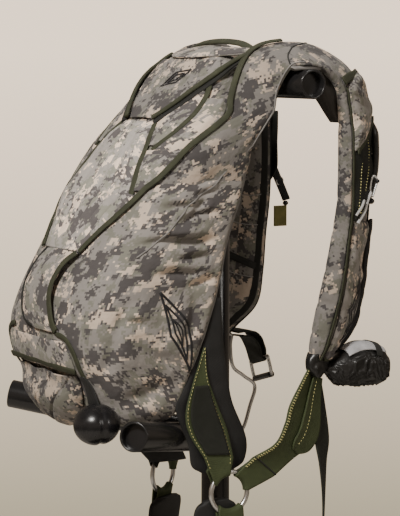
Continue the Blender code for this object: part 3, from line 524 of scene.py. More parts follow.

# ---- Flaps of the outer face ----
# Six cut sheets of camouflage nylon that close over the imported canopies: the long pleated centre flap,
# a side and an inner cover each side, and the reserve flap at the top. Each edge lies under a binding.

LONG_LINE = [(0.826, 76), (0.861, 66), (0.895, 53), (0.917, 46), (0.939, 38), (0.962, 29)]
LONG_UPPER = [(0.962, 29), (1.001, 13), (1.031, 4), (1.056, 0)]
CENTRE_LINE = [(0.906, 56), (0.919, 59), (0.947, 65), (0.973, 69), (1.003, 76)]
INNER_LINE = [(0.968, 61), (0.977, 57), (0.993, 48), (1.019, 35), (1.041, 28), (1.058, 27)]
ROLL_LINE = [(1.009, 80), (1.021, 72.6), (1.034, 63), (1.0465, 52.7), (1.0585, 40.2), (1.070, 25),
             (1.077, 16)]
ROLL_END = [(0.1035, -0.0340, 1.0905), (0.1060, -0.0220, 1.0975), (0.1085, -0.0120, 1.1020)]
SIDE_LINE = [(0.7155, 77.3), (0.710, 68.4), (0.699, 62.0), (0.6825, 57.9), (0.666, 55.8), (0.645, 54.3),
             (0.6305, 51.4)]
CENTRE_TOP = 1.006
SEAT = 0.0007  # the lift of cloth on the container's skin
SECOND = 0.0032  # the lift of cloth that lies on another sheet
CLOTH = 0.0016
TUCK = 9.0  # how far the side cover runs in under the strap at its top, in degrees
MARGIN = 0.8  # how far a flap's edge stays inside its binding's line, in degrees
SIDES = {"R": 1, "L": -1}


def bearing(height, angle):
    """The angle round the section of a line that the pattern gives by its own angle."""
    square = body_row(height)[5]
    turn = np.radians(angle)
    across, out = np.cos(turn), np.sin(turn)
    across, out = np.sign(across) * np.abs(across) ** (2 / square), np.abs(out) ** (2 / square)
    return np.degrees(np.arctan2(out, across))


def edge_of(table):
    """A line's bearing at any height."""
    rows = run_through(table, 8)
    angles = bearing(rows[:, 0], rows[:, 1])
    return lambda height: np.interp(height, rows[:, 0], angles)


def mirrored(points, side):
    """The points as they lie on this side of the rig."""
    return np.asarray(points) * (side, 1, 1)


def flap(name, node, low, high, right, left, look, lift, side=1, rows=90, columns=90):
    """A sheet over the container between two lines, its edges turned down under their bindings."""
    heights = np.linspace(low, high, rows)[:, None]
    shares = np.linspace(0, 1, columns)[None, :]
    start, end = right(heights), left(heights)
    angles = start + (end - start) * shares
    points = mirrored(skin(heights, angles, lift(heights, shares)), side)
    piece = laid_grid(name, points, look, node, start=(0.31 * low, 0.0))
    thicken(piece, CLOTH)


long_edge, upper_edge, centre_edge = edge_of(LONG_LINE), edge_of(LONG_UPPER), edge_of(CENTRE_LINE)
inner_edge, roll_edge = edge_of(INNER_LINE), edge_of(ROLL_LINE)


def centre_right(height):
    """The centre flap's right edge."""
    return np.where(height > CENTRE_LINE[0][0], centre_edge(height), long_edge(height)) + MARGIN


def pleats(height, share):
    """Soft folds that run down the centre flap from under the reserve flap and fade towards its sides."""
    low, high = LONG_LINE[0][0], CENTRE_TOP
    fade = np.clip((height - low) / 0.05, 0, 1) * np.clip((high - height) / 0.02, 0, 1)
    drift = share + 0.030 * np.sin((height - low) * 26) + 0.012 * np.sin((height - low) * 71 + share * 5)
    fold = (drift * 7.0) % 1.0
    soft = 1 - np.exp(-((np.minimum(fold, 1 - fold) / 0.12) ** 2))
    edge = np.clip(np.minimum(share, 1 - share) / 0.05, 0, 1)
    return SEAT + edge * (0.0004 + fade * 0.0052 * soft * (0.75 + 0.25 * np.sin(drift * 17)))


def stretched(crown, seed, wrinkle=0.0007):
    """A flap's lift: crowned between its edges, with a few shallow wrinkles."""
    def lift(height, share):
        rise = np.clip(4 * share * (1 - share), 0, 1) ** 0.6
        spot = joined(share * 0.08, height, 0.0)
        return SEAT + rise * (crown + wrinkle * (1 + lumps(spot, 0.035, seed)))
    return lift


flap_cloth = camouflage("flap_cloth", turn=0.9, shift=6.0, pale=1.6)
cover_cloth = camouflage("cover_cloth", turn=-0.6, shift=9.0, pale=1.15)
reserve_cloth = camouflage("reserve_cloth", turn=0.25, shift=15.0, pale=0.92)
flap(
    "centre_flap_cloth", "centre_flap", LONG_LINE[0][0], CENTRE_TOP, centre_right,
    lambda height: 180 - centre_right(height), flap_cloth, pleats, rows=125, columns=170,
)
flap(
    "reserve_flap_cloth", "reserve_flap", 1.010, 1.094, lambda height: roll_edge(height) + MARGIN,
    lambda height: 180 - roll_edge(height) - MARGIN, reserve_cloth, stretched(0.0024, 21), columns=120,
)
for tag, side in SIDES.items():
    flap(
        f"side_cover_cloth_{tag}", f"side_cover_{tag}", CENTRE_LINE[0][0] + 0.006, 1.040,
        lambda height: np.where(height < LONG_UPPER[0][0], long_edge(height),
                                upper_edge(height) - TUCK) + MARGIN,
        lambda height: np.where(height < INNER_LINE[0][0], centre_edge(height), inner_edge(height)) - MARGIN,
        cover_cloth, stretched(0.0022, 22), side=side,
    )
    flap(
        f"inner_cover_cloth_{tag}", f"inner_cover_{tag}", 0.974, 1.050,
        lambda height: inner_edge(height) + MARGIN,
        lambda height: np.minimum(centre_edge(height), roll_edge(height)) - MARGIN,
        cover_cloth, stretched(0.0012, 23), side=side, rows=64, columns=50,
    )

# ---- Bindings of the flaps ----
# Olive nylon tape folded over each flap's edge and sewn through; the reserve flap's edge is a thicker roll
# of it, olive, with a black tape laid beneath it as painted shadow.


def tape_cloth(name, colour):
    """Close ribbed binding tape, a little worn in random patches."""
    def weave(tree, cloth):
        return noise(tree, cloth, 60.0, 5.0), ribs(tree, cloth, 190.0, "Y")
    return woven(name, 0.82, (times(colour, 0.55), times(colour, 1.9)), 0.5, 0.0006, weave)


def tape(name, points, normals, look, side=1, wide=0.009, thick=0.0022, node=None, slot="tape", square=3.0):
    """A flat or rolled tape along points, which run down the middle of its underside."""
    points, normals = mirrored(points, side), unit(mirrored(normals, side))
    along = unit(np.gradient(points, axis=0))
    across = unit(np.cross(along, normals))
    up = np.cross(across, along)
    turn = np.arange(14) * 2 * math.pi / 14
    flat, deep = squared(np.cos(turn), 2 / square), squared(np.sin(turn), 2 / square)
    wide = np.broadcast_to(wide, len(points))[:, None, None]
    thick = np.broadcast_to(thick, len(points))[:, None, None]
    ring = points[:, None] + across[:, None] * flat[:, None] * wide / 2
    ring = ring + up[:, None] * (deep[:, None] + 1) * thick / 2
    return laid_grid(name, ring, look, node, wrap=True)


def skin_tape(name, heights, angles, lift, look, **more):
    """A tape over the container's skin."""
    tape(name, skin(heights, angles, lift), skin_normals(heights, angles), look, **more)


def pattern_tape(name, table, lift, look, side, **more):
    """A tape over the container along a line of the pattern."""
    rows = run_through(table, 8)
    skin_tape(name, rows[:, 0], bearing(rows[:, 0], rows[:, 1]), lift, look, side=side, **more)


olive_tape = tape_cloth("olive_tape", (0.034, 0.037, 0.019))
black_tape = tape_cloth("black_tape", (0.014, 0.014, 0.012))
for tag, side in SIDES.items():
    pattern_tape(f"centre_tape_{tag}", CENTRE_LINE, 0.0024, olive_tape, side, node=f"centre_binding_{tag}")
    pattern_tape(f"inner_tape_{tag}", INNER_LINE, 0.0022, olive_tape, side, wide=0.0078,
                 node=f"inner_binding_{tag}")
    rows = run_through(ROLL_LINE, 8)
    angles = bearing(rows[:, 0], rows[:, 1])
    for name, drop, turn, lift, look, wide, thick in (
        ("cloth", 0.0, 0.0, 0.0046, olive_tape, 0.0085, 0.0056),
        # a black tape under the olive roll: painted shadow
        ("shade", 0.0042, 2.5, 0.0016, black_tape, 0.0100, 0.0044),
    ):
        points = skin(rows[:, 0] - drop, angles - turn, lift)
        points = run_through(np.concatenate([points[::4], np.array(ROLL_END) - (0, 0, 1.2 * drop)]), 6)
        normals = skin_normals(rows[:, 0], angles)[::4]
        normals = run_through(np.concatenate([normals, np.tile((0.25, -0.35, 1.0), (3, 1))]), 6)
        tape(f"reserve_roll_{name}_{tag}", points, normals, look, side, wide=wide, thick=thick, square=2.2,
             node=f"reserve_roll_{tag}" if name == "cloth" else None)
    pattern_tape(f"side_tape_{tag}", SIDE_LINE, 0.0007, olive_tape, side, wide=0.0075, thick=0.0028,
                 square=2.4, node=f"side_binding_{tag}")

# ---- Tongue, bottom flap and pouch ----
# The tongue tucks over the main closing pin, the bound bottom flap crosses under it, and the spandex pouch
# for the pilot chute bulges below, with its ball handle on a black tab at the right.

TONGUE = [  # height, extra lift, right edge and left edge
    (0.7165, -0.0016, 0.076, 0.004), (0.7250, 0.0005, 0.066, -0.026), (0.7450, 0.0020, 0.052, -0.042),
    (0.7655, 0.0040, 0.043, -0.047), (0.7865, 0.0050, 0.042, -0.046), (0.8060, 0.0040, 0.047, -0.040),
    (0.8230, 0.0010, 0.059, -0.034),
]
BOTTOM_FLAP = [(0.666, 0.0990), (0.685, 0.0975), (0.700, 0.0900), (0.706, 0.0830)]
POUCH = [  # height, bulge, right edge and left edge
    (0.5850, 0.012, 0.030, -0.040), (0.5920, 0.019, 0.052, -0.060), (0.6030, 0.024, 0.068, -0.078),
    (0.6180, 0.026, 0.080, -0.090), (0.6360, 0.021, 0.090, -0.094), (0.6600, 0.004, 0.096, -0.097),
]


def angle_of_x(height, x):
    """The bearing of the outer face's point at this X."""
    half, square = body_row(height)[4:]
    share = np.clip(np.abs(x) / half, 0, 1)
    return np.degrees(np.arctan2((1 - share**square) ** (1 / square), np.sign(x) * share))


tongue_cloth = camouflage("tongue_cloth", turn=1.35, shift=21.0, pale=1.12)
fine = run_through(TONGUE, 12)
heights = np.linspace(TONGUE[0][0], TONGUE[-1][0], 90)[:, None]
extra, right, left = (np.interp(heights, fine[:, 0], fine[:, k]) for k in (1, 2, 3))
shares = np.linspace(0, 1, 70)[None, :]
x = right + (left - right) * shares
crown = 0.0048 * (4 * shares * (1 - shares)) * np.clip((heights - 0.716) / 0.02, 0.3, 1)
crown += 0.0006 * lumps(joined(x, heights, heights), 0.03, 31)
points = skin(heights, angle_of_x(heights, x), SECOND + extra + crown)
tongue = laid_grid("tongue_cloth", points, tongue_cloth, "tongue")
thicken(tongue, CLOTH)
edge = fine[4:]
for name, column, shift, look, wide, thick, node in (
    ("tongue_tape", 2, -0.0025, olive_tape, 0.0105, 0.0034, "tongue_binding"),
    ("tongue_far_tape", 3, 0.0010, black_tape, 0.0040, 0.0026, None),
):
    angles = angle_of_x(edge[:, 0], edge[:, column] + shift)
    skin_tape(name, edge[:, 0], angles, SECOND + 0.0010 + edge[:, 1], look, wide=wide, thick=thick, node=node)
height = np.full(40, TONGUE[-1][0] + 0.001)
skin_tape("tongue_tuck", height, angle_of_x(height, np.linspace(TONGUE[-1][2], TONGUE[-1][3], 40)), SECOND,
          black_tape, wide=0.0030, thick=0.0026)


def flap_edge(height):
    """The bottom flap's right edge."""
    table = np.array(BOTTOM_FLAP)
    return angle_of_x(height, np.interp(height, table[:, 0], table[:, 1]))


flap(
    "bottom_flap_cloth", "bottom_flap", BOTTOM_FLAP[0][0], BOTTOM_FLAP[-1][0], flap_edge,
    lambda height: 180 - flap_edge(height), cover_cloth, stretched(0.0034, 33, 0.0014), rows=40, columns=140,
)
across = np.linspace(0.102, -0.102, 70)
height = BOTTOM_FLAP[0][0] + 0.0045 - 0.003 * (across / 0.1) ** 4
skin_tape("bottom_tape", height, angle_of_x(height, across), SECOND + 0.0006, olive_tape, wide=0.0095,
          thick=0.0032, node="bottom_binding")

pouch_cloth = camouflage("pouch_cloth", turn=0.2, shift=27.0, pale=0.85)
fine = run_through(POUCH, 12)
heights = np.linspace(POUCH[0][0], POUCH[-1][0], 90)[:, None]
bulge, right, left = (np.interp(heights, fine[:, 0], fine[:, k]) for k in (1, 2, 3))
shares = np.linspace(0, 1, 160)[None, :]
x = right + (left - right) * shares
slant = 0.074 - (0.653 - heights) * 1.35
seam = np.exp(-(((x - slant) / 0.0030) ** 2)) + 0.5 * np.exp(-(((x - slant + 0.050) / 0.0026) ** 2))
tie = np.clip(1 - np.abs(2 * shares - 1) ** 4, 0, 1)
pull = 0.0030 * lumps(joined(x * 0.9, heights * 0.5, heights), 0.042, 34)
points = skin(heights, angle_of_x(heights, x),
              SEAT + 0.002 + (bulge + pull * tie) * tie - 0.0036 * seam * tie)
pouch = laid_grid("pouch_cloth", points, pouch_cloth, "pouch")
thicken(pouch, CLOTH, -1)

# ---- Shoulder straps ----
# Padded straps of the same camouflage, printed darker as painted shade, sewn into the container's sides and
# bent over the crossbar. A boxing strip closes their outer edge, and cross seams quilt it.

STRAP_ROOT = [  # height and angle of the lateral edge, then of the neck edge, and the lift of the face
    (0.915, -39, 0.915, 41, -0.0030),
    (0.930, -40, 0.930, 38, 0.0012),
    (0.952, -43, 0.950, 31, 0.0077),
    (0.974, -44, 0.974, 23, 0.0127),
]
STRAP = [  # lateral edge, neck edge, thickness in the middle and at the lateral edge
    ((0.1560, 0.0060, 1.0250), (0.1340, -0.0640, 1.0160), 0.014, 0.004),
    ((0.1620, 0.0080, 1.0560), (0.1160, -0.0360, 1.0700), 0.015, 0.004),
    ((0.1820, 0.0160, 1.0870), (0.1070, -0.0060, 1.1070), 0.016, 0.004),
    ((0.1900, 0.0310, 1.0920), (0.1120, 0.0330, 1.1210), 0.016, 0.004),
    ((0.1900, 0.0600, 1.0900), (0.1180, 0.0810, 1.1210), 0.016, 0.005),
    ((0.1860, 0.0880, 1.0780), (0.1240, 0.1210, 1.1060), 0.018, 0.010),
    ((0.1830, 0.1060, 1.0590), (0.1300, 0.1520, 1.0830), 0.020, 0.014),
    ((0.1830, 0.1130, 1.0320), (0.1340, 0.1770, 1.0440), 0.021, 0.016),
    ((0.1830, 0.1190, 0.9810), (0.1380, 0.1820, 0.9860), 0.023, 0.020),
    ((0.1830, 0.1200, 0.8950), (0.1380, 0.1810, 0.8890), 0.024, 0.022),
    ((0.1830, 0.1120, 0.8300), (0.1380, 0.1730, 0.8150), 0.026, 0.025),
    ((0.1810, 0.1050, 0.7790), (0.1360, 0.1670, 0.7590), 0.029, 0.028),
    ((0.1780, 0.0930, 0.7240), (0.1340, 0.1550, 0.7080), 0.030, 0.029),
    ((0.1740, 0.0790, 0.6770), (0.1400, 0.1190, 0.6730), 0.024, 0.023),
    ((0.1700, 0.0690, 0.6560), (0.1450, 0.0960, 0.6490), 0.012, 0.011),
]
WEARER = np.array((0.0, 0.06, 0.95))
FLAP_ROWS = 90
STRAP_SEAMS = ((7.6, 0.10), (9.02, 0.08), (9.68, 0.07), (10.80, 0.08), (11.7, 0.09), (12.6, 0.08))
STEP = 10

lateral_line, neck_line, depth_line = (
    run_through([row[0] for row in STRAP], STEP),
    run_through([row[1] for row in STRAP], STEP),
    run_through([row[2:] for row in STRAP], STEP),
)
run = np.gradient(lateral_line + neck_line, axis=0)
out_line = unit(np.cross(neck_line - lateral_line, run))
facing = ((lateral_line + neck_line) / 2 - WEARER) * out_line
out_line *= np.sign(facing.sum(-1, keepdims=True))


def row_at(table, station):
    """The row of a table along the strap at this station, between its rows."""
    spot = np.asarray(station, float) * STEP
    return np.stack([np.interp(spot, np.arange(len(table)), table[:, k]) for k in range(table.shape[1])], -1)


def strap_normal(station):
    """Unit normals of the strap's outer face."""
    return unit(row_at(out_line, station))


def quilting(station):
    """How deep the cross seams pull the strap in at this station, from 0 to 1."""
    return sum(np.exp(-(((station - seam) / width) ** 2)) for seam, width in STRAP_SEAMS)


def on_strap(station, share, lift=0.0):
    """Points of the strap's outer face, share of the way from its lateral edge to its neck edge."""
    station, share = np.broadcast_arrays(np.asarray(station, float), np.asarray(share, float))
    outer, inner = row_at(lateral_line, station), row_at(neck_line, station)
    thick = row_at(depth_line, station)[..., 0]
    middle = 4 * share * (1 - share)
    spot = joined(share * 0.07, station * 0.06, 0.0)
    soft = np.abs(middle) ** 0.5 * (0.0011 * lumps(spot, 0.05, 41) + 0.0005 * lumps(spot, 0.02, 42))
    crown = 0.2 * thick * middle - 0.0016 * quilting(station) * middle
    face = outer + (inner - outer) * share[..., None]
    return face + strap_normal(station) * (crown + soft + lift)[..., None]


def pad_depth(share, thick, edge):
    """The pad's thickness across the strap, full at the lateral edge and thin at the neck edge."""
    rise = np.sin(np.clip(share / 0.25, 0, 1) * math.pi / 2)
    fall = np.sin(np.clip((1 - share) / 0.35, 0, 1) * math.pi / 2)
    return 0.0035 + (edge + (thick - edge) * rise - 0.0035) * fall


def strap_ring(over, under, bulge):
    """One closed section: half the underside, the boxing strip, the face, then the rest of the underside."""
    wall = np.linspace(0, 1, 10)[1:-1, None]
    outward = unit(over[0] - over[-1])
    boxing = under[0] + (over[0] - under[0]) * wall + outward * bulge * np.sin(np.pi * wall)
    half = len(under) // 2
    return np.concatenate([under[:half][::-1], boxing, over, under[half:][::-1]])


ROOT_EDGE = 0.0027
shares = (1 - np.cos(np.linspace(0, np.pi, 41))) / 2
rings = []
for low, low_angle, high, high_angle, lift in STRAP_ROOT:
    heights = low + (high - low) * shares
    angles = low_angle + (high_angle - low_angle) * shares
    angles = np.where(angles < 0, angles, bearing(heights, np.abs(angles)))
    rise = lift + 0 * shares
    if lift > ROOT_EDGE:
        rise = ROOT_EDGE + (lift - ROOT_EDGE) * (1 - (2 * shares - 1) ** 4)
    under = skin(heights, angles, np.minimum(rise, 0.0015) - 0.001)
    rings.append(strap_ring(skin(heights, angles, rise), under, 0.0))
for station in np.linspace(0, len(STRAP) - 1, STEP * (len(STRAP) - 1) + 1):
    over = on_strap(station, shares)
    thick, edge = row_at(depth_line, station)
    depth = pad_depth(shares, thick, edge) - 0.0012 * quilting(station)
    under = over - strap_normal(station) * depth[:, None]
    rings.append(strap_ring(over, under, 0.26 * edge * (1 - 0.75 * quilting(station))))
rings = np.array(rings)
root = run_through(rings[[0, 1, 2, 3, 4, 14]], 8)[: 4 * 8]
strap_points = np.concatenate([root, rings[4:]])
spread = cloth_map(container_points)
near = np.linalg.norm(container_points - root[8][len(root[8]) // 2], axis=-1)
meets = spread[np.unravel_index(near.argmin(), near.shape)]
strap_map = cloth_map(np.concatenate([strap_points, strap_points[:, :1]], 1))
strap_map += meets - strap_map[8, strap_map.shape[1] // 2]
for tag, side in SIDES.items():
    strap = laid_grid(f"strap_pad_{tag}", mirrored(strap_points, side), strap_cloth,
                      f"shoulder_strap_{tag}", wrap=True, spread=strap_map * (side, 1))

# ---- Seam of the strap into the side ----
# The strap's cover is sewn to the container's side along one corded seam, which runs on up the strap's
# lateral edge. An arch seam crosses the strap where its two lengths of cover meet.

SEAM = [  # height, angle and lift down from the strap
    (0.974, -39, 0.0070), (0.955, -27, 0.0052), (0.941, -13, 0.0035), (0.927, -4, 0.0014),
        (0.903, 12, 0.0006),
    (0.885, 17, 0.0006), (0.865, 21, 0.0006), (0.843, 27, 0.0006), (0.823, 34, 0.0003),
]


def strap_tape(name, station, share, lift, look, side, **more):
    """A tape over the strap's outer face."""
    return tape(name, on_strap(station, share, lift), strap_normal(station), look, side, **more)


cord_cloth = tape_cloth("cord_cloth", (0.21, 0.20, 0.19))
for tag, side in SIDES.items():
    rows = run_through(SEAM, 8)
    stations = np.linspace(3.2, 0, 33)
    points = np.concatenate([on_strap(stations, 0.015, 0.0004), skin(rows[:, 0], rows[:, 1], rows[:, 2])])
    normals = np.concatenate([strap_normal(stations), skin_normals(rows[:, 0], rows[:, 1])])
    tape(f"side_seam_{tag}", points, normals, cord_cloth, side, wide=0.0022, thick=0.0013, square=2.0,
         slot="camouflage")
    skin_tape(f"edge_cord_{tag}", np.linspace(0.600, 0.958, 120), np.full(120, -45.0), -0.0004, cord_cloth,
              side=side, wide=0.0030, thick=0.0024, square=2.0, slot="camouflage")
    run = np.linspace(0, 1, 40)
    strap_tape(f"arch_seam_{tag}", 2.05 + 2.0 * run, run, 0.0001, black_tape, side, wide=0.0022, thick=0.0009)

# ---- Tapes and covers on the straps ----
# The long olive binding runs from the tongue up the outer face and on along the strap's neck edge. Over the
# chest a camouflage cover ends in a bound point above the riser, and a second cover closes the lower end.


def strap_flap(name, node, first, last, left, right, lift, thick, look, side, crown=0.0012, seed=51):
    """A sheet on the strap's face between two stations, its edges given as shares at each way down."""
    way = np.linspace(0, 1, FLAP_ROWS)[:, None]
    across = np.linspace(0, 1, 40)[None, :]
    share = left(way) + (right(way) - left(way)) * across
    station = first + (last - first) * way + 0 * across
    rim = np.clip(np.minimum(across, 1 - across) / 0.12, 0, 1)
    rim = rim * np.clip(np.minimum(way, 1 - way) / 0.03, 0, 1)
    folds = lumps(joined(share * 0.05, station * 0.06, 0.0), 0.035, seed)
    points = mirrored(on_strap(station, share, lift + rim * crown * (1.3 + folds)), side)
    piece = laid_grid(name, points, look, node, start=(0.1 * seed, 0.0), within=tuple(WEARER))
    thicken(piece, thick)
    return piece


def grid_points(piece):
    """The points of a sheet on the strap again, by rows."""
    flat = np.empty(len(piece.data.vertices) * 3, np.float32)
    piece.data.vertices.foreach_get("co", flat)
    return flat.reshape(FLAP_ROWS, -1, 3).astype(float)


def under_tape(name, station, share, gap, look, side, sway=0.0, **more):
    """A tape along the strap's underside, this far off it; sway moves it along the strap."""
    thick, edge = row_at(depth_line, station).T
    down = (pad_depth(share, thick, edge) + gap)[:, None]
    normals = strap_normal(station)
    tape(name, on_strap(station + sway, share) - normals * down, -normals, look, side, **more)


def cover_right(way):
    """The cover's neck edge, as a share; it runs across to the lateral edge in the last stretch."""
    return 0.985 - 0.83 * np.clip((way - 0.74) / 0.26, 0, 1) ** 1.15


def lower_right(way):
    """The lower cover's neck edge, as a share."""
    return 0.915 - 0.25 * np.clip((way - 0.75) / 0.25, 0, 1) ** 2


for tag, side in SIDES.items():
    lower = run_through([(height, angle, 0.0) for height, angle in LONG_LINE[:-2]], 6)
    turns = bearing(lower[:, 0], lower[:, 1])
    points, normals = [skin(lower[:, 0], turns, SECOND - 0.0006)], [skin_normals(lower[:, 0], turns)]
    for _, _, high, high_angle, lift in STRAP_ROOT[1:]:
        turn = bearing(high, high_angle + 1.0)
        points.append(skin(high, turn, SECOND + 0.0010 + 0.30 * lift)[None])
        normals.append(skin_normals(np.array([high]), np.array([turn])))
    stations = np.linspace(0, 3.2 if side > 0 else 0.8, 9)
    points.append(on_strap(stations, 0.97, 0.0024))
    normals.append(strap_normal(stations))
    points, normals = run_through(np.concatenate(points), 3), run_through(np.concatenate(normals), 3)
    tape(f"long_tape_{tag}", points, normals, olive_tape, side, wide=0.0088, thick=0.0030,
         node=f"long_binding_{tag}")

    stations = np.linspace(6.2, 13.6, 120)
    strap_tape(f"strap_edge_tape_{tag}", stations, 0.05, 0.0006, olive_tape if side > 0 else black_tape, side,
               wide=0.0075, thick=0.0026, node=f"strap_binding_{tag}")
    strap_tape(f"strap_neck_tape_{tag}", stations, 0.985, -0.0006, black_tape, side, wide=0.0060,
               thick=0.0030)
    facing = [(4.2, 0.80), (5.5, 0.84), (7.0, 0.87), (9.0, 0.87), (11.0, 0.86), (12.6, 0.84), (13.4, 0.80)]
    rows = run_through(facing, 14)
    under_tape(f"strap_facing_{tag}", rows[:, 0], rows[:, 1], 0.0002, black_tape, side, wide=0.0150,
               thick=0.0020)
    share = np.linspace(0.03, 0.97, 24)
    for seam, station in enumerate((7.3, 9.05, 9.72, 11.2)):
        under_tape(f"strap_seam_{seam}_{tag}", np.full(24, station), share, -0.0004, cord_cloth, side,
                   sway=0.10 * np.sin(share * 3), wide=0.0016, thick=0.0012, slot="black_cloth")
    share = np.linspace(0.06, 0.97, 24)
    under_tape(f"strap_keeper_{tag}", 10.72 + 0.25 * share, share, -0.0002, black_tape, side, wide=0.0110,
               thick=0.0022, slot="black_cloth")
    run = np.linspace(-0.01, 1.05, 30)
    tape(f"strap_band_tape_{tag}", on_strap(5.74 + 0.58 * run, run, 0.0030), strap_normal(6.0 + 0 * run),
         olive_tape, side, wide=0.0130, thick=0.0030, node=f"strap_band_{tag}")
    cover = strap_flap(f"strap_cover_cloth_{tag}", f"strap_cover_{tag}", 6.15, 8.2,
                       lambda way: 0.06 + 0 * way, cover_right, 0.0020, 0.0018, cover_cloth,
                       side, crown=0.0034)
    way = np.linspace(0.70, 1.03, 40)
    trim = strap_tape(f"cover_tape_{tag}", 6.15 + 2.05 * way, cover_right(way) - 0.02, 0.0050, olive_tape,
                      side, wide=0.0080, thick=0.0030)
    grid_points(cover)
lower_cover = strap_flap("lower_cover_cloth", "lower_cover_R", 9.40, 13.4, lambda way: 0.12 + 0.06 * way,
                         lower_right, SEAT, 0.0018, cover_cloth, 1, crown=0.0018, seed=52)
way = np.linspace(0, 1, 70)
trims = [
    strap_tape(f"lower_cover_{end}_tape", station, share, 0.0016, look, 1, wide=0.0070, thick=0.0026)
    for end, share, station, look in (
        ("side", lower_right(way), 9.40 + 4.0 * way, black_tape),
        ("end", 0.18 + 0.485 * way, 13.4 + 0 * way, olive_tape),
    )
]
grid_points(lower_cover)

housing_cloth = dark_cloth("housing_cloth", (0.0025, 0.0025, 0.0025), 0.7)
station = np.linspace(9.35, 12.9, 90)
crumple = lumps(joined(0.0, 0.05 * station, 0.0), 0.02, 57)
strap_tape("lower_housing", station, 0.925 + 0.03 * crumple, 0.0034, housing_cloth, 1,
           wide=0.0140 + 0.0020 * crumple, thick=0.0052, slot="black_cloth")

# The lining of each strap sags onto the crossbar that it hangs over, and its cover folds over behind it; the
# fold's camouflage cover is given a plain dark brown cloth as painted shade.
LINING_TOP, LINING_FOOT = 1.1080, 1.0820
FOLD = [  # Y and Z of the fold's section
    (0.070, 1.087), (0.086, 1.086), (0.100, 1.062), (0.111, 1.035), (0.114, 1.016), (0.109, 1.006),
        (0.101, 1.014),
    (0.087, 1.033), (0.0765, 1.048), (0.0775, 1.062), (0.070, 1.087),
]
# A plain dark brown in place of the fold's camouflage: painted shade.
fold_cloth = dark_cloth("fold_cloth", (0.040, 0.035, 0.030), 0.8)
for tag, side in SIDES.items():
    way = np.linspace(0, 1, 40)[:, None]
    turn = full_turn(48)[None, :]
    x = 0.104 + 0.084 * way
    top = LINING_TOP - 0.0200 * way**1.2
    z = (top + LINING_FOOT) / 2 + (top - LINING_FOOT) / 2 * np.sin(turn)
    y = 0.0432 + (0.031 - 0.004 * way) * squared(np.cos(turn), 0.6)
    z = z + 0.0010 * lumps(joined(x, y, z), 0.02, 62)
    lining = laid_grid(f"strap_lining_{tag}", mirrored(joined(x, y, z), side), cord_cloth,
                       wrap=True)
    rim = run_through(FOLD, 6)[:-1]
    points = joined(0.146 + 0.022 * way, rim[:, 0][None, :], rim[:, 1][None, :])
    fold = laid_grid(f"strap_fold_{tag}", mirrored(points, side), fold_cloth, wrap=True)

# ---- Yoke ----
# A padded camouflage piece that joins the straps behind the neck, and the olive lip that stands along it.

YOKE_HALF, YOKE_SWEEP, YOKE_THICK, YOKE_RISE = 0.1055, 0.034, 0.0075, 0.005
x = np.linspace(-1, 1, 90)[:, None]
bow = 1 - x**2
start = -0.040 + YOKE_SWEEP * x**2
turn = full_turn(40)[None, :]
share = 0.5 - 0.5 * squared(np.cos(turn), 0.6)
deep = 0.40 - 0.58 * squared(np.sin(turn), 0.8)
puff = 0.0010 * lumps(joined(x * 0.1, share * 0.05, 0.0), 0.05, 61) * (deep < 0.3)
y = start + (0.014 - start) * share - 0.018 * (1 - share) ** 4 * bow
z = 1.1100 + 0.001 * share + YOKE_RISE * bow - YOKE_THICK * deep + puff - 0.012 * (1 - share) ** 3 * bow
yoke = laid_grid("yoke_pad", joined(x * YOKE_HALF, y, z), cover_cloth, "yoke", wrap=True)
LIP_HALF = 0.097
x = np.linspace(-LIP_HALF, LIP_HALF, 60)
arch = 1 - (x / LIP_HALF) ** 2
drop = 0.007 * np.clip((np.abs(x) - 0.05) / 0.047, 0, 1) ** 2
points = joined(x, 0.010, 1.1122 + YOKE_RISE * (1 - (x / YOKE_HALF) ** 2) + 0.0035 * arch - drop)
tape("top_lip_roll", points, np.tile((0.0, -0.5, 1.0), (60, 1)), olive_tape, wide=0.011 + 0.003 * arch,
     thick=0.003 + 0.003 * arch, square=2.2, node="top_lip")

# ---- Ball handle and its tab ----
# A glossy black ball of two halves pressed together, which pulls the pilot chute. It sits on a short black
# tab sewn under the side flap.

BALL, BALL_RADIUS = Vector((0.1255, -0.2650, 0.5925)), 0.029
ball_gloss = mottled("ball_gloss", {"Roughness": 0.24}, ((0.006, 0.006, 0.007), (0.020, 0.019, 0.020)), 90.0,
                     5.0, rough=(0.16, 0.36), bump=(90.0, 5.0, 0.25, 0.001))
shape = bmesh.new()
bmesh.ops.create_uvsphere(shape, u_segments=72, v_segments=48, radius=BALL_RADIUS)
for vert in shape.verts:
    across = vert.co.y / BALL_RADIUS + 0.25 * vert.co.x / BALL_RADIUS
    vert.co *= 1.0 - 0.075 * math.exp(-(((across - 0.10) / 0.13) ** 2)) + 0.014 * math.sin(90 * vert.co.x + 2)
bmesh.ops.scale(shape, verts=shape.verts, vec=(1.10, 1.13, 0.99))
bmesh.ops.translate(shape, verts=shape.verts, vec=BALL)
shaped("ball_knob", shape, ball_gloss, "ball_handle")

webbing_black = dark_cloth("webbing_black", (0.013, 0.013, 0.013), 0.6, mesh=170.0)
fall = np.linspace(0, 1, 40)
heights = 0.660 - 0.052 * fall
skin_tape("ball_tab", heights, angle_of_x(heights, 0.1060 + 0.004 * fall), 0.0016 + 0.010 * fall**2,
          webbing_black, wide=0.008 + 0.016 * fall**0.7, thick=0.0026, square=5.0, slot="black_cloth")

# ---- Embroidery ----
# Nested slim lozenges in raised black satin stitch, a plain ornament, on each side of the container, on the
# reserve flap and on the strap's lower cover.

def satin_weave(tree, cloth):
    """Close threads that give both the tone and the relief."""
    thread = ribs(tree, cloth, 420.0, "Y", 1.5)
    return thread, thread


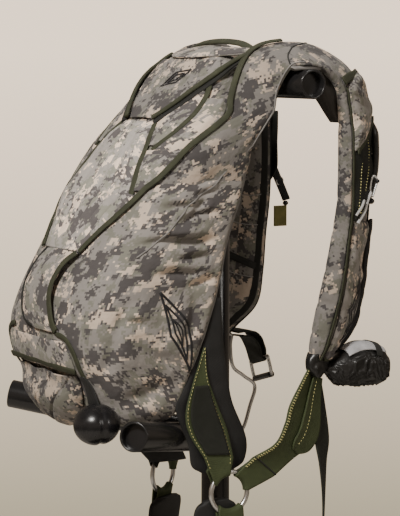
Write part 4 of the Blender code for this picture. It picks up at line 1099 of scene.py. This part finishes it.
def lozenge(long, wide, bow):
    """A closed slim lozenge, in metres along and across, its long axis bowed."""
    corners = np.array([(-0.5, 0.0), (0.0, 0.5), (0.5, 0.0), (0.0, -0.5), (-0.5, 0.0)])
    rim = np.concatenate([np.linspace(a, b, 30, endpoint=False) for a, b in zip(corners, corners[1:])])
    rim = np.concatenate([rim, rim[:1]])
    return rim[:, 0] * long, rim[:, 1] * wide + bow * (1 - (2 * rim[:, 0]) ** 2)


def side_bearing(height, y):
    """The bearing of the side's point at this Y."""
    turns = np.linspace(-40, 75, 400)
    return np.array([np.interp(-b, -section(h, turns)[:, 1], turns) for h, b in zip(height, y)])


satin = woven("satin_stitch", 0.42, ((0.004, 0.004, 0.005), (0.020, 0.020, 0.024)), 0.5, 0.0004, satin_weave)
LEAN = math.radians(24)
for tag, side in SIDES.items():
    for number, (long, wide, bow) in enumerate(((0.128, 0.034, 0.006), (0.088, 0.018, 0.006),
                                                (0.046, 0.006, 0.006))):
        along, across = lozenge(long, wide, bow)
        heights = 0.716 - along * math.cos(LEAN) + across * math.sin(LEAN) * 0.9
        angles = side_bearing(heights, -0.150 + along * math.sin(LEAN) + across * math.cos(LEAN))
        skin_tape(f"side_stitching_{tag}_{number}", heights, angles, 0.0001, satin, side=side,
                  wide=0.0036 - 0.0007 * number, thick=0.0012, square=2.2, slot="black_cloth")
for number, (long, wide) in enumerate(((0.060, 0.022), (0.034, 0.010))):
    along, across = lozenge(long, wide, 0.002)
    heights = 1.066 + along * 0.42 + across * 0.6
    skin_tape(f"top_stitching_{number}", heights, angle_of_x(heights, 0.020 + along * 0.80 - across * 0.75),
              0.0058, satin, wide=0.0024, thick=0.0010, square=2.2, slot="black_cloth")
for number, (long, wide) in enumerate(((3.0, 0.40), (1.9, 0.16))):
    along, across = lozenge(long, wide, 0.0)
    strap_tape(f"strap_stitching_{number}", 11.7 + along / 1.6, 0.62 + across, 0.0052, satin, 1, wide=0.0026,
               thick=0.0010, square=2.2, slot="black_cloth")

# ---- Harness webbing ----
# Olive nylon webbing, 44 mm wide, sewn in rows of pale yellow thread. Each length turns round its steel ring
# and is sewn back on itself.

RING_RADIUS, RING_WIRE = 0.0300, 0.0035
RIG_MIDDLE = (0.0, 0.0, 0.6)
WEB_COLUMNS = 17
HIP_RING = np.array((0.150, -0.065, 0.479))
HIP_SHIFT = np.array((0.0, 0.057, -0.033))
WEB_THICK = 0.0024
WRAP = 0.0052
DOUBLED = 0.0028
LIFT_WEB = [
    ((0.1655, 0.0625, 0.6550), (0.1500, 0.0915, 0.6480)),
    ((0.1700, 0.0430, 0.6300), (0.1500, 0.0860, 0.6090)),
    ((0.1700, 0.0250, 0.6000), (0.1510, 0.0820, 0.5600)),
    ((0.1700, 0.0170, 0.5740), (0.1520, 0.0680, 0.5340)),
    ((0.1690, 0.0010, 0.5460), (0.1550, 0.0350, 0.5150)),
    ((0.1620, -0.0330, 0.5280), (0.1570, 0.0060, 0.4960)),
]
HIP_WEB = [
    ((0.1400, -0.1010, 0.6900), (0.1400, -0.0985, 0.6900)),
    ((0.1418, -0.1110, 0.6650), (0.1418, -0.0985, 0.6650)),
    ((0.1430, -0.1210, 0.6400), (0.1435, -0.0945, 0.6400)),
    ((0.1440, -0.1330, 0.6000), (0.1450, -0.0790, 0.6000)),
    ((0.1460, -0.1290, 0.5700), (0.1465, -0.0670, 0.5700)),
    ((0.1530, -0.1090, 0.5350), (0.1530, -0.0600, 0.5300)),
]


def webbing_cloth(name, colour):
    """Close herringbone webbing, darker in random patches where it is dirty."""
    def weave(tree, cloth):
        rib, twill = ribs(tree, cloth, 150.0, "X", 0.6), ribs(tree, cloth, 240.0, "DIAGONAL")
        height = shader_node(tree, "ShaderNodeMath", (0, rib), (1, twill), operation="MULTIPLY").outputs[0]
        soil = noise(tree, cloth, 34.0, 6.0, 0.65)
        return shader_node(tree, "ShaderNodeMix", ("Factor", 0.45), ("A", soil),
                           ("B", height)).outputs[0], height
    return woven(name, 0.72, (times(colour, 0.30), times(colour, 2.3)), 0.5, 0.0007, weave)


def web_rows(edges, steps, cup=0.0008):
    """Rows of a length of webbing between two edge lines, slightly cupped."""
    left = run_through([row[0] for row in edges], steps)
    right = run_through([row[1] for row in edges], steps)
    share = np.linspace(0, 1, WEB_COLUMNS)[None, :, None]
    rows = left[:, None] + (right - left)[:, None] * share
    along = unit(np.gradient(left + right, axis=0))
    up = unit(np.cross(right - left, along))[:, None]
    return rows + up * cup * (1 - (2 * share - 1) ** 2)


def turned_round(ring, first, last, back=0.024):
    """Rows of webbing turned round a ring's wire and sewn back on itself; a turn of 0 is the ring's top."""
    turns = np.radians(np.linspace(first, last, WEB_COLUMNS))
    spots = ring + RING_RADIUS * joined(0.0, np.sin(turns), np.cos(turns))
    inward = unit(ring - spots)
    way = np.linspace(0, np.pi, 14)[:, None, None]
    fold = spots + WRAP * (np.cos(way) * (1, 0, 0) + np.sin(way) * inward)
    away = np.linspace(0, 1, 10)[1:, None, None]
    middle = -unit(inward.mean(0))
    closes = -WRAP + (WRAP - DOUBLED + WRAP) * away**0.7
    return fold, spots + closes * (1, 0, 0) + middle * back * away


def to_ring(rows, fold):
    """The rows of a length of webbing, carried on to meet its turn round the ring."""
    bridge = np.linspace(0, 1, 8)[1:-1, None, None]
    near, far = rows[-1], fold[0]
    pull = (rows[-1] - rows[-2]) * 1.2
    return near * (1 - bridge) + far * bridge + pull * bridge * (1 - bridge) ** 2


def webbing(name, rows, look, node=None, side=1, thick=WEB_THICK,
            middle=RIG_MIDDLE):
    """A length of webbing laid through its rows."""
    rows = mirrored(rows, side)
    piece = laid_grid(name, rows, look, node, within=middle)
    thicken(piece, thick, 0)


def stitching(name, rows, shares, side=1, long=0.0034, gap=0.0018, lift=0.0016, radius=0.00055):
    """Rows of raised thread stitches along a length of webbing, at these shares across it."""
    shape = bmesh.new()
    along = unit(np.gradient(rows, axis=0))
    normals = unit(np.cross(np.gradient(rows, axis=1), along))
    if (normals * (rows - RIG_MIDDLE)).sum() < 0:
        normals = -normals
    for share in shares:
        spot = share * (rows.shape[1] - 1)
        low, part = int(spot), spot - int(spot)
        high = min(low + 1, rows.shape[1] - 1)
        line = rows[:, low] * (1 - part) + rows[:, high] * part
        up = unit(normals[:, low] * (1 - part) + normals[:, high] * part)
        gone = np.concatenate([[0.0], np.linalg.norm(np.diff(line, axis=0), axis=-1).cumsum()])
        for mark in np.arange(long / 2, gone[-1] - long / 2, long + gap):
            middle = Vector([np.interp(mark, gone, line[:, k]) for k in range(3)])
            top = Vector([np.interp(mark, gone, up[:, k]) for k in range(3)]).normalized()
            ahead = Vector([np.interp(mark + 0.001, gone, line[:, k]) - middle[k] for k in range(3)])
            ahead = ahead.normalized()
            turn = Matrix((ahead, top.cross(ahead).normalized(), top)).transposed().to_4x4()
            stretch = Matrix.Diagonal((long / 2, radius, radius, 1))
            place = Matrix.Translation(middle + top * lift) @ turn @ stretch
            bmesh.ops.create_icosphere(shape, subdivisions=1, radius=1.0, matrix=place)
    if side < 0:
        bmesh.ops.scale(shape, verts=shape.verts, vec=(-1, 1, 1))
        bmesh.ops.reverse_faces(shape, faces=shape.faces)
    shaped(name, shape, yellow_thread, smooth=False)


def hung_edges(edges, shift):
    """A length's edge lines, their lower ends moved to where the ring hangs."""
    return np.array(edges) + shift * np.linspace(0, 1, len(edges) + 1)[:-1, None, None]


yellow_thread = mottled("yellow_thread", {"Roughness": 0.6}, ((0.46, 0.42, 0.15), (0.92, 0.85, 0.40)), 120.0,
                        2.0)
olive_web = webbing_cloth("olive_web", (0.044, 0.058, 0.020))
dark_web = webbing_cloth("dark_web", (0.009, 0.011, 0.006))
hook_patch = dark_cloth("hook_patch", (0.009, 0.010, 0.006), 0.95, mesh=420.0)
pad_cloth = dark_cloth("pad_cloth", (0.008, 0.008, 0.008), 0.62)
for tag, side in SIDES.items():
    shift = HIP_SHIFT * (side < 0)
    ring = HIP_RING + shift
    fold, back = turned_round(ring, -62, -2)
    rows = web_rows(hung_edges(HIP_WEB, shift), 10)
    hip = np.concatenate([rows, to_ring(rows, fold), fold, back])
    # The left hip webbing is olive like the right; its near-black dark_web is painted shade.
    webbing(f"hip_webbing_{tag}", hip, olive_web if side > 0 else dark_web, f"hip_web_{tag}", side)
    stitching(f"hip_stitches_{tag}", hip[:len(rows) + 3], (0.05, 0.90), side, radius=0.0004)
    patch = rows[21:-1, 2:15] + (0.0030, 0, 0)
    webbing(f"hip_patch_{tag}", patch, hook_patch, None, side, 0.0016)

    fold, back = turned_round(ring, 22, 88)
    rows = web_rows(hung_edges(LIFT_WEB, shift), 10, cup=0.0016)
    lift = np.concatenate([rows, to_ring(rows, fold), fold, back])
    webbing(f"lift_webbing_{tag}", lift, olive_web, f"lift_web_{tag}", side)
    stitching(f"lift_stitches_{tag}", lift[:len(rows) + 4], (0.035, 0.085), side, radius=0.0007, long=0.0026,
              gap=0.0014)
    stitching(f"lift_fine_stitches_{tag}", lift[6:len(rows) - 16], (0.66,), side, lift=0.0060, radius=0.00045)
    over = rows[4:-14] + (0.0034, 0, 0)
    ahead = (over[:, -1:] - over[:, :1]) * 0.30
    round_end = 1 - np.clip((np.linspace(0, 1, len(over)) - 0.86) / 0.14, 0, 1)[:, None, None] ** 2 * 0.55
    tab = over.mean(1, keepdims=True) + ahead + (over - over.mean(1, keepdims=True)) * 0.62 * round_end
    webbing(f"lift_tab_{tag}", tab, olive_web, None, side)
    tape(f"lift_seam_{tag}", lift[len(rows) - 2] + (0.0014, 0, 0), np.tile((1.0, 0.1, 0.2), (WEB_COLUMNS, 1)),
         black_tape, side, wide=0.0022, thick=0.0010, slot="webbing")

# ---- Rings, leg straps and pads ----
# Welded steel rings hang in the webbing, with the leg straps and their black pads below them.

steel = mottled("plated_steel", {"Roughness": 0.3, "Metallic": 1.0}, ((0.42, 0.41, 0.40), (0.86, 0.85, 0.83)),
                140.0, 6.0, grain=0.7, rough=(0.18, 0.46))


def steel_ring(name, centre, radius, wire, node):
    """A round ring that stands in the plane of the rig's side."""
    shape = bmesh.new()
    made = bmesh.ops.create_circle(shape, segments=20, radius=wire)
    bmesh.ops.rotate(shape, verts=made["verts"], matrix=Matrix.Rotation(math.pi / 2, 3, "X"))
    bmesh.ops.translate(shape, verts=made["verts"], vec=(radius, 0, 0))
    bmesh.ops.spin(shape, geom=shape.edges[:], axis=(0, 0, 1), cent=(0, 0, 0), angle=2 * math.pi, steps=96,
                   use_merge=True)
    bmesh.ops.remove_doubles(shape, verts=shape.verts, dist=1e-6)
    bmesh.ops.recalc_face_normals(shape, faces=shape.faces)
    bmesh.ops.rotate(shape, verts=shape.verts, matrix=Matrix.Rotation(math.pi / 2, 3, "Y"))
    bmesh.ops.translate(shape, verts=shape.verts, vec=centre)
    shaped(name, shape, steel, node)


def flat_pad(name, rows, inner, outer, puff, side, node):
    """A quilted foam pad that stands near the rig's side; rows give height, back edge and front edge."""
    fine = run_through(rows, 10)
    turn = full_turn(60)[None, :]
    across, deep = squared(np.cos(turn), 0.55), squared(np.sin(turn), 0.9)
    height, back, front = (fine[:, k, None] for k in range(3))
    y = (back + front) / 2 + (front - back) / 2 * across
    quilt = puff * (0.5 + 0.5 * np.cos((height - fine[0, 0]) * 180)) * np.abs(deep)
    x = (inner + outer) / 2 + ((outer - inner) / 2 + quilt) * deep
    pad = laid_grid(name, joined(x, y, height), pad_cloth, node, wrap=True)
    pad.data.transform(Matrix.Diagonal((side, 1, 1, 1)))
    if side < 0:
        pad.data.flip_normals()


HIP_PAD = np.array([
    (0.760, -0.0812, -0.0700), (0.700, -0.0995, -0.0660), (0.645, -0.1275, -0.0580),
    (0.606, -0.1440, -0.0500), (0.553, -0.1240, -0.0270), (0.520, -0.1180, -0.0300),
    (0.508, -0.1020, -0.0480),
])
LEG_PAD = [(0.468, 0.020), (0.450, 0.036), (0.380, 0.040), (0.240, 0.040), (0.180, 0.034), (0.160, 0.020)]
LEG_STRAP = [(0.120, 0.0062), (0.200, 0.0012), (0.300, 0.0052), (0.400, 0.0082)]  # height and sway
for tag, side in SIDES.items():
    shift = HIP_SHIFT * (side < 0)
    ring = HIP_RING + shift
    steel_ring(f"hip_steel_{tag}", Vector(mirrored(ring, side)), RING_RADIUS, RING_WIRE, f"hip_ring_{tag}")
    lean = np.clip((np.arange(7) - 2) / 4, 0, 1)[:, None] * shift[[2, 1, 1]]
    rows = [(height + shift[2], ring[1] - 0.016 - half, ring[1] - 0.016 + half) for height, half in LEG_PAD]
    if side < 0:
        lean[5:] += ((-0.003, 0.014, 0.002), (-0.007, 0.006, 0.016))
        rows[:2] = [(0.410, ring[1] - 0.036, ring[1] + 0.022), (0.398, ring[1] - 0.054, ring[1] + 0.034)]
    flat_pad(f"hip_pad_cloth_{tag}", HIP_PAD + lean, 0.1282, 0.1385, 0.0008, side, f"hip_pad_{tag}")
    flat_pad(f"leg_pad_cloth_{tag}", rows, ring[0] - 0.017, ring[0] - 0.0045, 0.0012, side, f"leg_pad_{tag}")
    fold, back = turned_round(ring, 222, 138, back=0.05)
    edges = [
        [(ring[0] + sway, ring[1] + way, height + shift[2]) for way in (-0.022, 0.022)]
        for height, sway in LEG_STRAP
    ]
    rows = web_rows(edges, 12)
    strap = np.concatenate([rows, to_ring(rows, fold), fold, back])
    webbing(f"leg_webbing_{tag}", strap, olive_web, f"leg_strap_{tag}", side)
    stitching(f"leg_stitches_{tag}", strap[:len(rows) + 4], (0.07, 0.93), side)

# The left side's ring and all that hangs on it have turned outwards about the ring's upright line.
SWUNG = (
    "hip_webbing", "hip_stitches", "hip_patch", "hip_steel", "lift_webbing", "lift_stitches", "lift_fine",
    "lift_tab", "lift_seam", "leg_webbing", "leg_stitches", "leg_pad_cloth",
)
SWING = math.radians(28)
centre = mirrored(HIP_RING + HIP_SHIFT, -1)
for piece in [one for one in scene.objects if one.name.endswith("_L") and one.name.startswith(SWUNG)]:
    for vertex in piece.data.vertices:
        way = min(1.0, max(0.0, (0.524 - vertex.co.z) / 0.036)) if "steel" not in piece.name else 1.0
        turn = SWING * way * way * (3 - 2 * way)
        x, y = vertex.co.x - centre[0], vertex.co.y - centre[1]
        vertex.co.x = centre[0] + x * math.cos(turn) - y * math.sin(turn)
        vertex.co.y = centre[1] + x * math.sin(turn) + y * math.cos(turn)

# ---- Risers and small fittings of the chest ----
# Black riser webbing comes out under each strap's bound point, sewn in dotted yellow, with a slick black
# housing beside it. The right side has two steel pins on black knobs, the left a ring and an olive tab.

slick_black = mottled("slick_black", {"Roughness": 0.34}, ((0.006, 0.006, 0.006), (0.026, 0.025, 0.024)),
                      160.0, 5.0, bump=(160.0, 5.0, 0.5, 0.001))
pin_steel = mottled("pin_steel", {"Roughness": 0.26, "Metallic": 0.45},
                    ((0.70, 0.70, 0.69), (0.95, 0.95, 0.94)), 160.0, 2.0, place="Generated")
tab_cloth = tape_cloth("tab_cloth", (0.16, 0.145, 0.045))
riser_web = webbing_cloth("riser_web", (0.005, 0.006, 0.003))


def knob(name, centre, radius):
    """A small turned knob."""
    shape = bmesh.new()
    bmesh.ops.create_uvsphere(shape, u_segments=24, v_segments=16, radius=radius)
    bmesh.ops.scale(shape, verts=shape.verts, vec=(1.0, 1.0, 0.85))
    bmesh.ops.translate(shape, verts=shape.verts, vec=centre)
    shaped(name, shape, slick_black)


def wire(name, points, radius, look=steel, node=None, closed=False):
    """A bent round wire through points."""
    table = [points[-1], *points, points[0], points[1]] if closed else points
    line = run_through(table, 8)
    if closed:
        line = line[8:-8]
    aside = np.tile((1.0, 0.05, 0.02), (len(line), 1))
    run = unit(np.gradient(line, axis=0))
    normals = np.cross(run, np.where(np.abs(run[:, :1]) > 0.8, np.roll(aside, 1, 1), aside))
    tape(name, line - unit(normals) * radius, normals, look, wide=2 * radius, thick=2 * radius, square=2.0,
         slot="steel", node=node)


def facing_tape(name, line, normal, look, wide, thick, slot="black_cloth", square=3.0):
    """A tape whose face looks one way all along its line."""
    tape(name, line, np.tile(normal, (len(line), 1)), look, wide=wide, thick=thick, slot=slot, square=square)


RISER_SEAMS = (  # station and share along each row of stitches
    [(8.05, 0.28), (8.5, 0.24), (8.9, 0.18), (9.3, 0.13)],
    [(7.85, 0.47), (8.2, 0.53), (8.5, 0.53), (8.9, 0.37), (9.3, 0.20)],
)
for tag, side in SIDES.items():
    riser = strap_flap(f"riser_webbing_{tag}", f"riser_{tag}", 7.6, 9.42, lambda way: 0.10 + 0 * way,
                       lambda way: 1.15 - 0.80 * np.clip((way - 0.55) / 0.45, 0, 1) ** 1.4, 0.0010, 0.0020,
                       riser_web, side, crown=0.0024, seed=71)
    grid_points(riser)
    for number, line in enumerate(RISER_SEAMS):
        line = run_through(line, 14)
        rows = on_strap(line[:, :1], line[:, 1:] + np.linspace(-0.02, 0.02, 3), 0.0058)
        stitching(f"riser_stitches_{number}_{tag}", rows, (0.5,), side, long=0.0026, lift=0.0006,
                  radius=0.0008)

HOUSING = [(0.132, 0.1800, 1.0060), (0.142, 0.1830, 0.9900), (0.142, 0.1850, 0.9740), (0.142, 0.1855, 0.9560),
           (0.142, 0.1840, 0.9340), (0.142, 0.1790, 0.9130), (0.143, 0.1720, 0.8960)]
BAND_END = [(0.131, 0.1570, 1.0800), (0.133, 0.1630, 1.0720), (0.134, 0.1660, 1.0630),
            (0.134, 0.1665, 1.0540)]
RISER_LOOP = [(0.160, 0.1707, 0.8957), (0.160, 0.1695, 0.9100), (0.160, 0.1740, 0.9265),
              (0.160, 0.1819, 0.9203), (0.160, 0.1775, 0.9060), (0.160, 0.1735, 0.8957)]
SMALL_WEBBING = [(0.1857, 0.9378), (0.1933, 0.9248), (0.2029, 0.9052), (0.2125, 0.8855), (0.2202, 0.8690)]
facing_tape("riser_housing", run_through(HOUSING, 8), (0.72, 0.69, 0.0), slick_black, 0.0195, 0.0095)
way = np.linspace(0, 1, 6)
wire("riser_pin", on_strap(8.86 + 0.60 * way, 0.58 - 0.50 * way, 0.0098), 0.0024, pin_steel)
wire("riser_short_pin", on_strap(9.00 + 0.30 * way, 0.28 - 0.27 * way, 0.0094), 0.0020, pin_steel)
wire("riser_loop", RISER_LOOP, 0.0016, pin_steel)
knob("riser_knob_small", (0.163, 0.1800, 0.9191), 0.0034)
knob("riser_knob", (0.163, 0.1687, 0.8901), 0.0052)
facing_tape("band_end", run_through(BAND_END, 6), (0.5, 0.85, 0.1), slick_black, 0.013, 0.0050)
line = run_through(SMALL_WEBBING, 6)
facing_tape("small_webbing", joined(-0.150, line[:, 0], line[:, 1]), (-0.6, 0.6, 0.45), webbing_black, 0.013,
            0.0050, square=4.0)
turn = full_turn(12)
wire("small_ring", joined(-0.152, 0.2095 + 0.0062 * np.cos(turn), 0.9005 + 0.0062 * np.sin(turn)), 0.0010,
     closed=True)
knob("small_knob", (-0.155, 0.2225, 0.8640), 0.0046)
facing_tape("small_tab", joined(-0.156, 0.2140, np.linspace(0.860, 0.8268, 20)), (-1.0, 0.0, 0.0), tab_cloth,
            0.0240, 0.0030, slot="webbing", square=8.0)

# ---- Rolled chest strap, its keeper and its free end ----
# The chest strap is rolled up on the right side: black webbing in crushed folds under a grey elastic keeper.
# Its free olive end hangs down and turns edge on.

BUNDLE_START, BUNDLE_END, BUNDLE_X = 0.0969, 0.2045, 0.152
BUNDLE = [  # Y, height, half depth and half height
    (0.0969, 0.6466, 0.0070, 0.0045), (0.116, 0.643, 0.018, 0.0195), (0.132, 0.647, 0.022, 0.026),
    (0.152, 0.649, 0.023, 0.031), (0.174, 0.648, 0.023, 0.030), (0.194, 0.645, 0.021, 0.025),
          (0.204, 0.643, 0.014, 0.015),
]
bundle_rows = run_through(BUNDLE, 14)


def bundle_grid(first, last, count, swell):
    """Rings round the rolled strap from one Y to another; swell gives how far out each point stands."""
    y = np.linspace(first, last, count)[:, None]
    z, deep, tall = (np.interp(y, bundle_rows[:, 0], bundle_rows[:, k]) for k in (1, 2, 3))
    turn = full_turn(96)[None, :]
    out = swell(y, turn)
    across, up = squared(np.cos(turn), 0.75), squared(np.sin(turn), 0.75)
    return joined(BUNDLE_X + (deep + out) * across, y, z + (tall + out) * up)


def crushed(y, turn):
    """Layers of folded webbing whose edges stand out below, and a smooth top under the keeper."""
    below = np.clip(0.62 - 2.2 * np.sin(turn - 0.30), 0, 1)
    spot = joined(np.cos(turn) * 0.02, y * 0.45, np.sin(turn) * 0.028)
    layer = (turn * 2.9 + 1.6 * lumps(spot, 0.020, 81) + 9.0 * y) % 1.0
    edge = layer**2.2 * 0.0042 - np.clip((layer - 0.9) / 0.1, 0, 1) * 0.0034
    end = np.clip(np.minimum(y - BUNDLE_START, BUNDLE_END - y) / 0.006, 0, 1)
    return end * (below * (edge + 0.0012 * lumps(spot, 0.011, 82)) - 0.0010 * (1 - below))


points = bundle_grid(BUNDLE_START, BUNDLE_END, 150, crushed)
bundle = laid_grid("rolled_strap", points, slick_black, "chest_bundle_R", wrap=True)
grey_elastic = tape_cloth("grey_elastic", (0.36, 0.36, 0.37))
for name, node, first, last, out, look, low in (
    ("keeper_cloth", "bundle_keeper_R", 0.127, 0.192, 0.0016, grey_elastic, 0.62),
    ("keeper_strap", None, 0.173, 0.183, 0.0032, black_tape, 0.30),
):
    whole = bundle_grid(first, last, 40, lambda y, turn: out + 0.0003 * np.sin(5 * turn + 90 * y))
    turn = full_turn(96)
    points = whole[:, (turn >= low) & (turn <= 3.9)]
    piece = laid_grid(name, points, look, node, within=(BUNDLE_X, 0.15, 0.648))
    thicken(piece, 0.0014)

# The strap's tip is wrapped in black cloth where the webbing and the roll come out of it.
TIP = [  # height, back edge and front edge
    (0.672, 0.0630, 0.0960), (0.664, 0.0580, 0.1020), (0.657, 0.0570, 0.1030), (0.649, 0.0590, 0.1000),
    (0.642, 0.0640, 0.0920), (0.637, 0.0700, 0.0840),
]
FREE_EDGES = [
    ((0.1480, 0.0740, 0.6505), (0.1450, 0.0900, 0.6505)),
    ((0.1480, 0.0790, 0.6000), (0.1440, 0.1010, 0.6000)),
    ((0.1500, 0.0820, 0.5420), (0.1420, 0.1110, 0.5420)),
    ((0.1580, 0.0850, 0.5050), (0.1360, 0.1110, 0.5050)),
    ((0.1620, 0.0880, 0.4600), (0.1330, 0.1110, 0.4600)),
    ((0.1650, 0.0880, 0.4100), (0.1300, 0.1110, 0.4100)),
    ((0.1620, 0.0860, 0.3600), (0.1330, 0.1060, 0.3600)),
]
fine = run_through(TIP, 8)
turn = full_turn(48)[None, :]
height, back, front = (fine[:, k, None] for k in range(3))
y = (back + front) / 2 + (front - back) / 2 * squared(np.cos(turn), 0.7)
crease = lumps(joined(0.01 * np.sin(turn), y, height), 0.014, 83)
x = 0.1575 + (0.0125 + 0.0014 * crease) * squared(np.sin(turn), 0.8) - 0.35 * (y - 0.08)
tip_wrap = laid_grid("tip_wrap", joined(x, y, height), slick_black, wrap=True)
webbing("free_end", web_rows(FREE_EDGES, 10, cup=0.0012), dark_web, "free_strap_R", middle=(0.0, 0.0, 0.5))

# ---- Fittings of the left side ----
# The left lift web's webbing turns doubled through a steel adapter, and a D-shaped wire handle hangs by it.

ADAPTER_X = -0.140
OUTER_RUN = [(0.1130, 0.6640), (0.132, 0.6650), (0.148, 0.6600), (0.1600, 0.6420), (0.1650, 0.6180)]
INNER_RUN = [(0.1650, 0.6110), (0.1580, 0.6180), (0.1500, 0.6400), (0.1380, 0.6540), (0.1200, 0.6570)]
path = np.concatenate([run_through(OUTER_RUN, 8), run_through(INNER_RUN, 8)])
rows = joined(ADAPTER_X + np.linspace(-0.0205, 0.0205, 15), path[:, :1], path[:, 1:])
rows[..., 1] += 0.0012 * lumps(rows, 0.03, 91)
rows[..., 2] += 0.28 * (rows[..., 0] - ADAPTER_X) * np.clip((0.665 - rows[..., 2]) / 0.035, 0, 1)
webbing("adapter_webbing", rows, dark_web, "adapter_web_L", middle=(-0.14, 0.10, 0.60))
corners = [
    np.array((ADAPTER_X + 0.026 * way, y, z + 0.0075 * way))
    for way, y, z in ((-1, 0.1640, 0.6160), (1, 0.1640, 0.6160), (1, 0.1720, 0.5850), (-1, 0.1720, 0.5850))
]
frame_line = [
    spot + unit(other - spot) * 0.005
    for number, spot in enumerate(corners) for other in (corners[number - 1], corners[(number + 1) % 4])
]
wire("adapter_frame", frame_line, 0.0028, node="adapter_L", closed=True)
wire("adapter_bar", [(-0.166, 0.1720, 0.5790), (-0.114, 0.1720, 0.5940)], 0.0048, slick_black)
HANDLE_X = -0.142
HANDLE = [(0.113, 0.657), (0.111, 0.640), (0.116, 0.607), (0.136, 0.590), (0.1570, 0.572), (0.1480, 0.540),
          (0.134, 0.503), (0.114, 0.500), (0.104, 0.540), (0.102, 0.600), (0.1033, 0.6535)]
wire("wire_handle", [(HANDLE_X, y, z) for y, z in HANDLE], 0.0029, node="wire_handle_L", closed=True)
facing_tape("handle_loop", [(HANDLE_X, 0.1010, 0.6600), (HANDLE_X, 0.1080, 0.6520),
                            (HANDLE_X, 0.1140, 0.6600)],
            (-1.0, 0.0, 0.0), webbing_black, 0.012, 0.0050)

# ---- Stand ----
# Powder-coated steel pipe: a base plate with a socket, the post, a sleeve with two welded arms under the
# container, and a crossbar in a bolted block under the straps. The pipes' ends are open to inner plugs.

stand_paint = mottled("stand_paint", {"Roughness": 0.22}, ((0.007, 0.007, 0.008), (0.019, 0.018, 0.018)),
                      22.0, 5.0, rough=(0.14, 0.34), bump=(420.0, 2.0, 0.10, 0.0004))
PIPE, WALL = 0.0211, 0.0036
HUB, ARM_TIP = np.array((0, 0, 0.528)), np.array((0.200, -0.247, 0.586))
BAR_Y, BAR_Z, BAR_HALF = 0.0432, 1.0625, 0.200


def lathe(name, start, end, profile, node=None, look=stand_paint):
    """A turned piece along an axis from (share of the way, radius) rows."""
    start, end = np.array(start, float), np.array(end, float)
    axis = unit(end - start)
    aside = unit(np.cross(axis, (0.0, 0.3, 1.0) if abs(axis[2]) < 0.8 else (1.0, 0.0, 0.0)))
    turn = full_turn(64)[:, None]
    spokes = aside * np.cos(turn) + np.cross(axis, aside) * np.sin(turn)
    rings = [start + axis * along + spokes * radius for along, radius in profile]
    piece = laid_grid(name, rings, look, node, wrap=True)
    piece.data.set_sharp_from_angle(angle=math.radians(50))


def pipe_profile(length):
    """A pipe's section with rounded lips and a plug 12 mm inside each end."""
    inner = PIPE - WALL
    lip = [(0.012, inner - 0.004), (0.012, inner), (0.0010, inner), (0.0003, inner + 0.0005),
           (0.0, inner + 0.0014), (0.0, PIPE - 0.0012), (0.0004, PIPE - 0.0004), (0.0012, PIPE)]
    return lip + [(length - along, radius) for along, radius in lip[::-1]]


lathe("stand_post", (0, 0, 0.0103), (0, 0, 1.060), [(0, PIPE), (1.0482, PIPE), (1.0497, PIPE - 0.0015)],
      "post")
lathe("stand_crossbar", (-BAR_HALF, BAR_Y, BAR_Z), (BAR_HALF, BAR_Y, BAR_Z), pipe_profile(2 * BAR_HALF),
      "crossbar")
lathe("arm_sleeve", HUB - (0, 0, 0.032), HUB + (0, 0, 0.032),
      [(0.0, 0.0216), (0.0, 0.0285), (0.0015, 0.0300), (0.0625, 0.0300), (0.0640, 0.0285), (0.0640, 0.0216)],
      "cradle")
for tag, side in SIDES.items():
    tip = mirrored(ARM_TIP, side)
    way = unit(tip - HUB)
    length = float(np.linalg.norm(tip - HUB))
    lathe(f"arm_{tag}", HUB + way * 0.024, tip, [(0.0, PIPE), *pipe_profile(length - 0.024)[8:]])
    lathe(f"arm_weld_{tag}", HUB + way * 0.0325, tip,
          [(-0.004, PIPE), (-0.0015, PIPE + 0.0022), (0.0015, PIPE + 0.0018), (0.004, PIPE)])


def block(name, size, centre, corner, edge, node):
    """A block with rounded upright edges and small rounded rims round its top and bottom."""
    shape = bmesh.new()
    bmesh.ops.create_cube(shape, size=1)
    bmesh.ops.scale(shape, verts=shape.verts, vec=size)
    upright = [e for e in shape.edges if abs(e.verts[0].co.z - e.verts[1].co.z) > size[2] / 2]
    bmesh.ops.bevel(shape, geom=upright, offset=corner, segments=10, affect="EDGES")
    rims = [e for e in shape.edges if abs(e.verts[0].co.z - e.verts[1].co.z) < 1e-6 and len(e.link_faces) == 2
            and abs(e.link_faces[0].normal.dot(e.link_faces[1].normal)) < 0.5]
    bmesh.ops.bevel(shape, geom=rims, offset=edge, segments=3, affect="EDGES")
    bmesh.ops.translate(shape, verts=shape.verts, vec=centre)
    piece = shaped(name, shape, stand_paint, node)
    piece.data.set_sharp_from_angle(angle=math.radians(40))


block("stand_plate", (0.46, 0.54, 0.010), (0, -0.070, 0.005), 0.03, 0.0015, "base_plate")
lathe("stand_socket", (0, 0, 0.010), (0, 0, 0.050),
      [(0.0, 0.0216), (0.0, 0.055), (0.006, 0.055), (0.008, 0.053), (0.009, 0.036), (0.012, 0.032),
       (0.0385, 0.0300), (0.040, 0.0285), (0.040, 0.0216)])
back, front = -PIPE - 0.0050, BAR_Y + PIPE + 0.0060
block("crossbar_block", (0.056, front - back, 0.050), (0, (front + back) / 2, BAR_Z), 0.004, 0.0015,
      "bar_clamp")
for number, (x, z) in enumerate(((-0.020, 1.078), (0.020, 1.078), (-0.020, 1.047), (0.020, 1.047))):
    lathe(f"block_bolt_{number}", (x, front, z), (x, front + 0.01, z),
          [(-0.0008, 0.0052), (0.0040, 0.0052), (0.0050, 0.0044), (0.0050, 0.0026), (0.0024, 0.0024)],
          look=slick_black)

size = {"cad": [list(corner) for corner in cad_box], "visual": [list(corner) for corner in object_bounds()]}
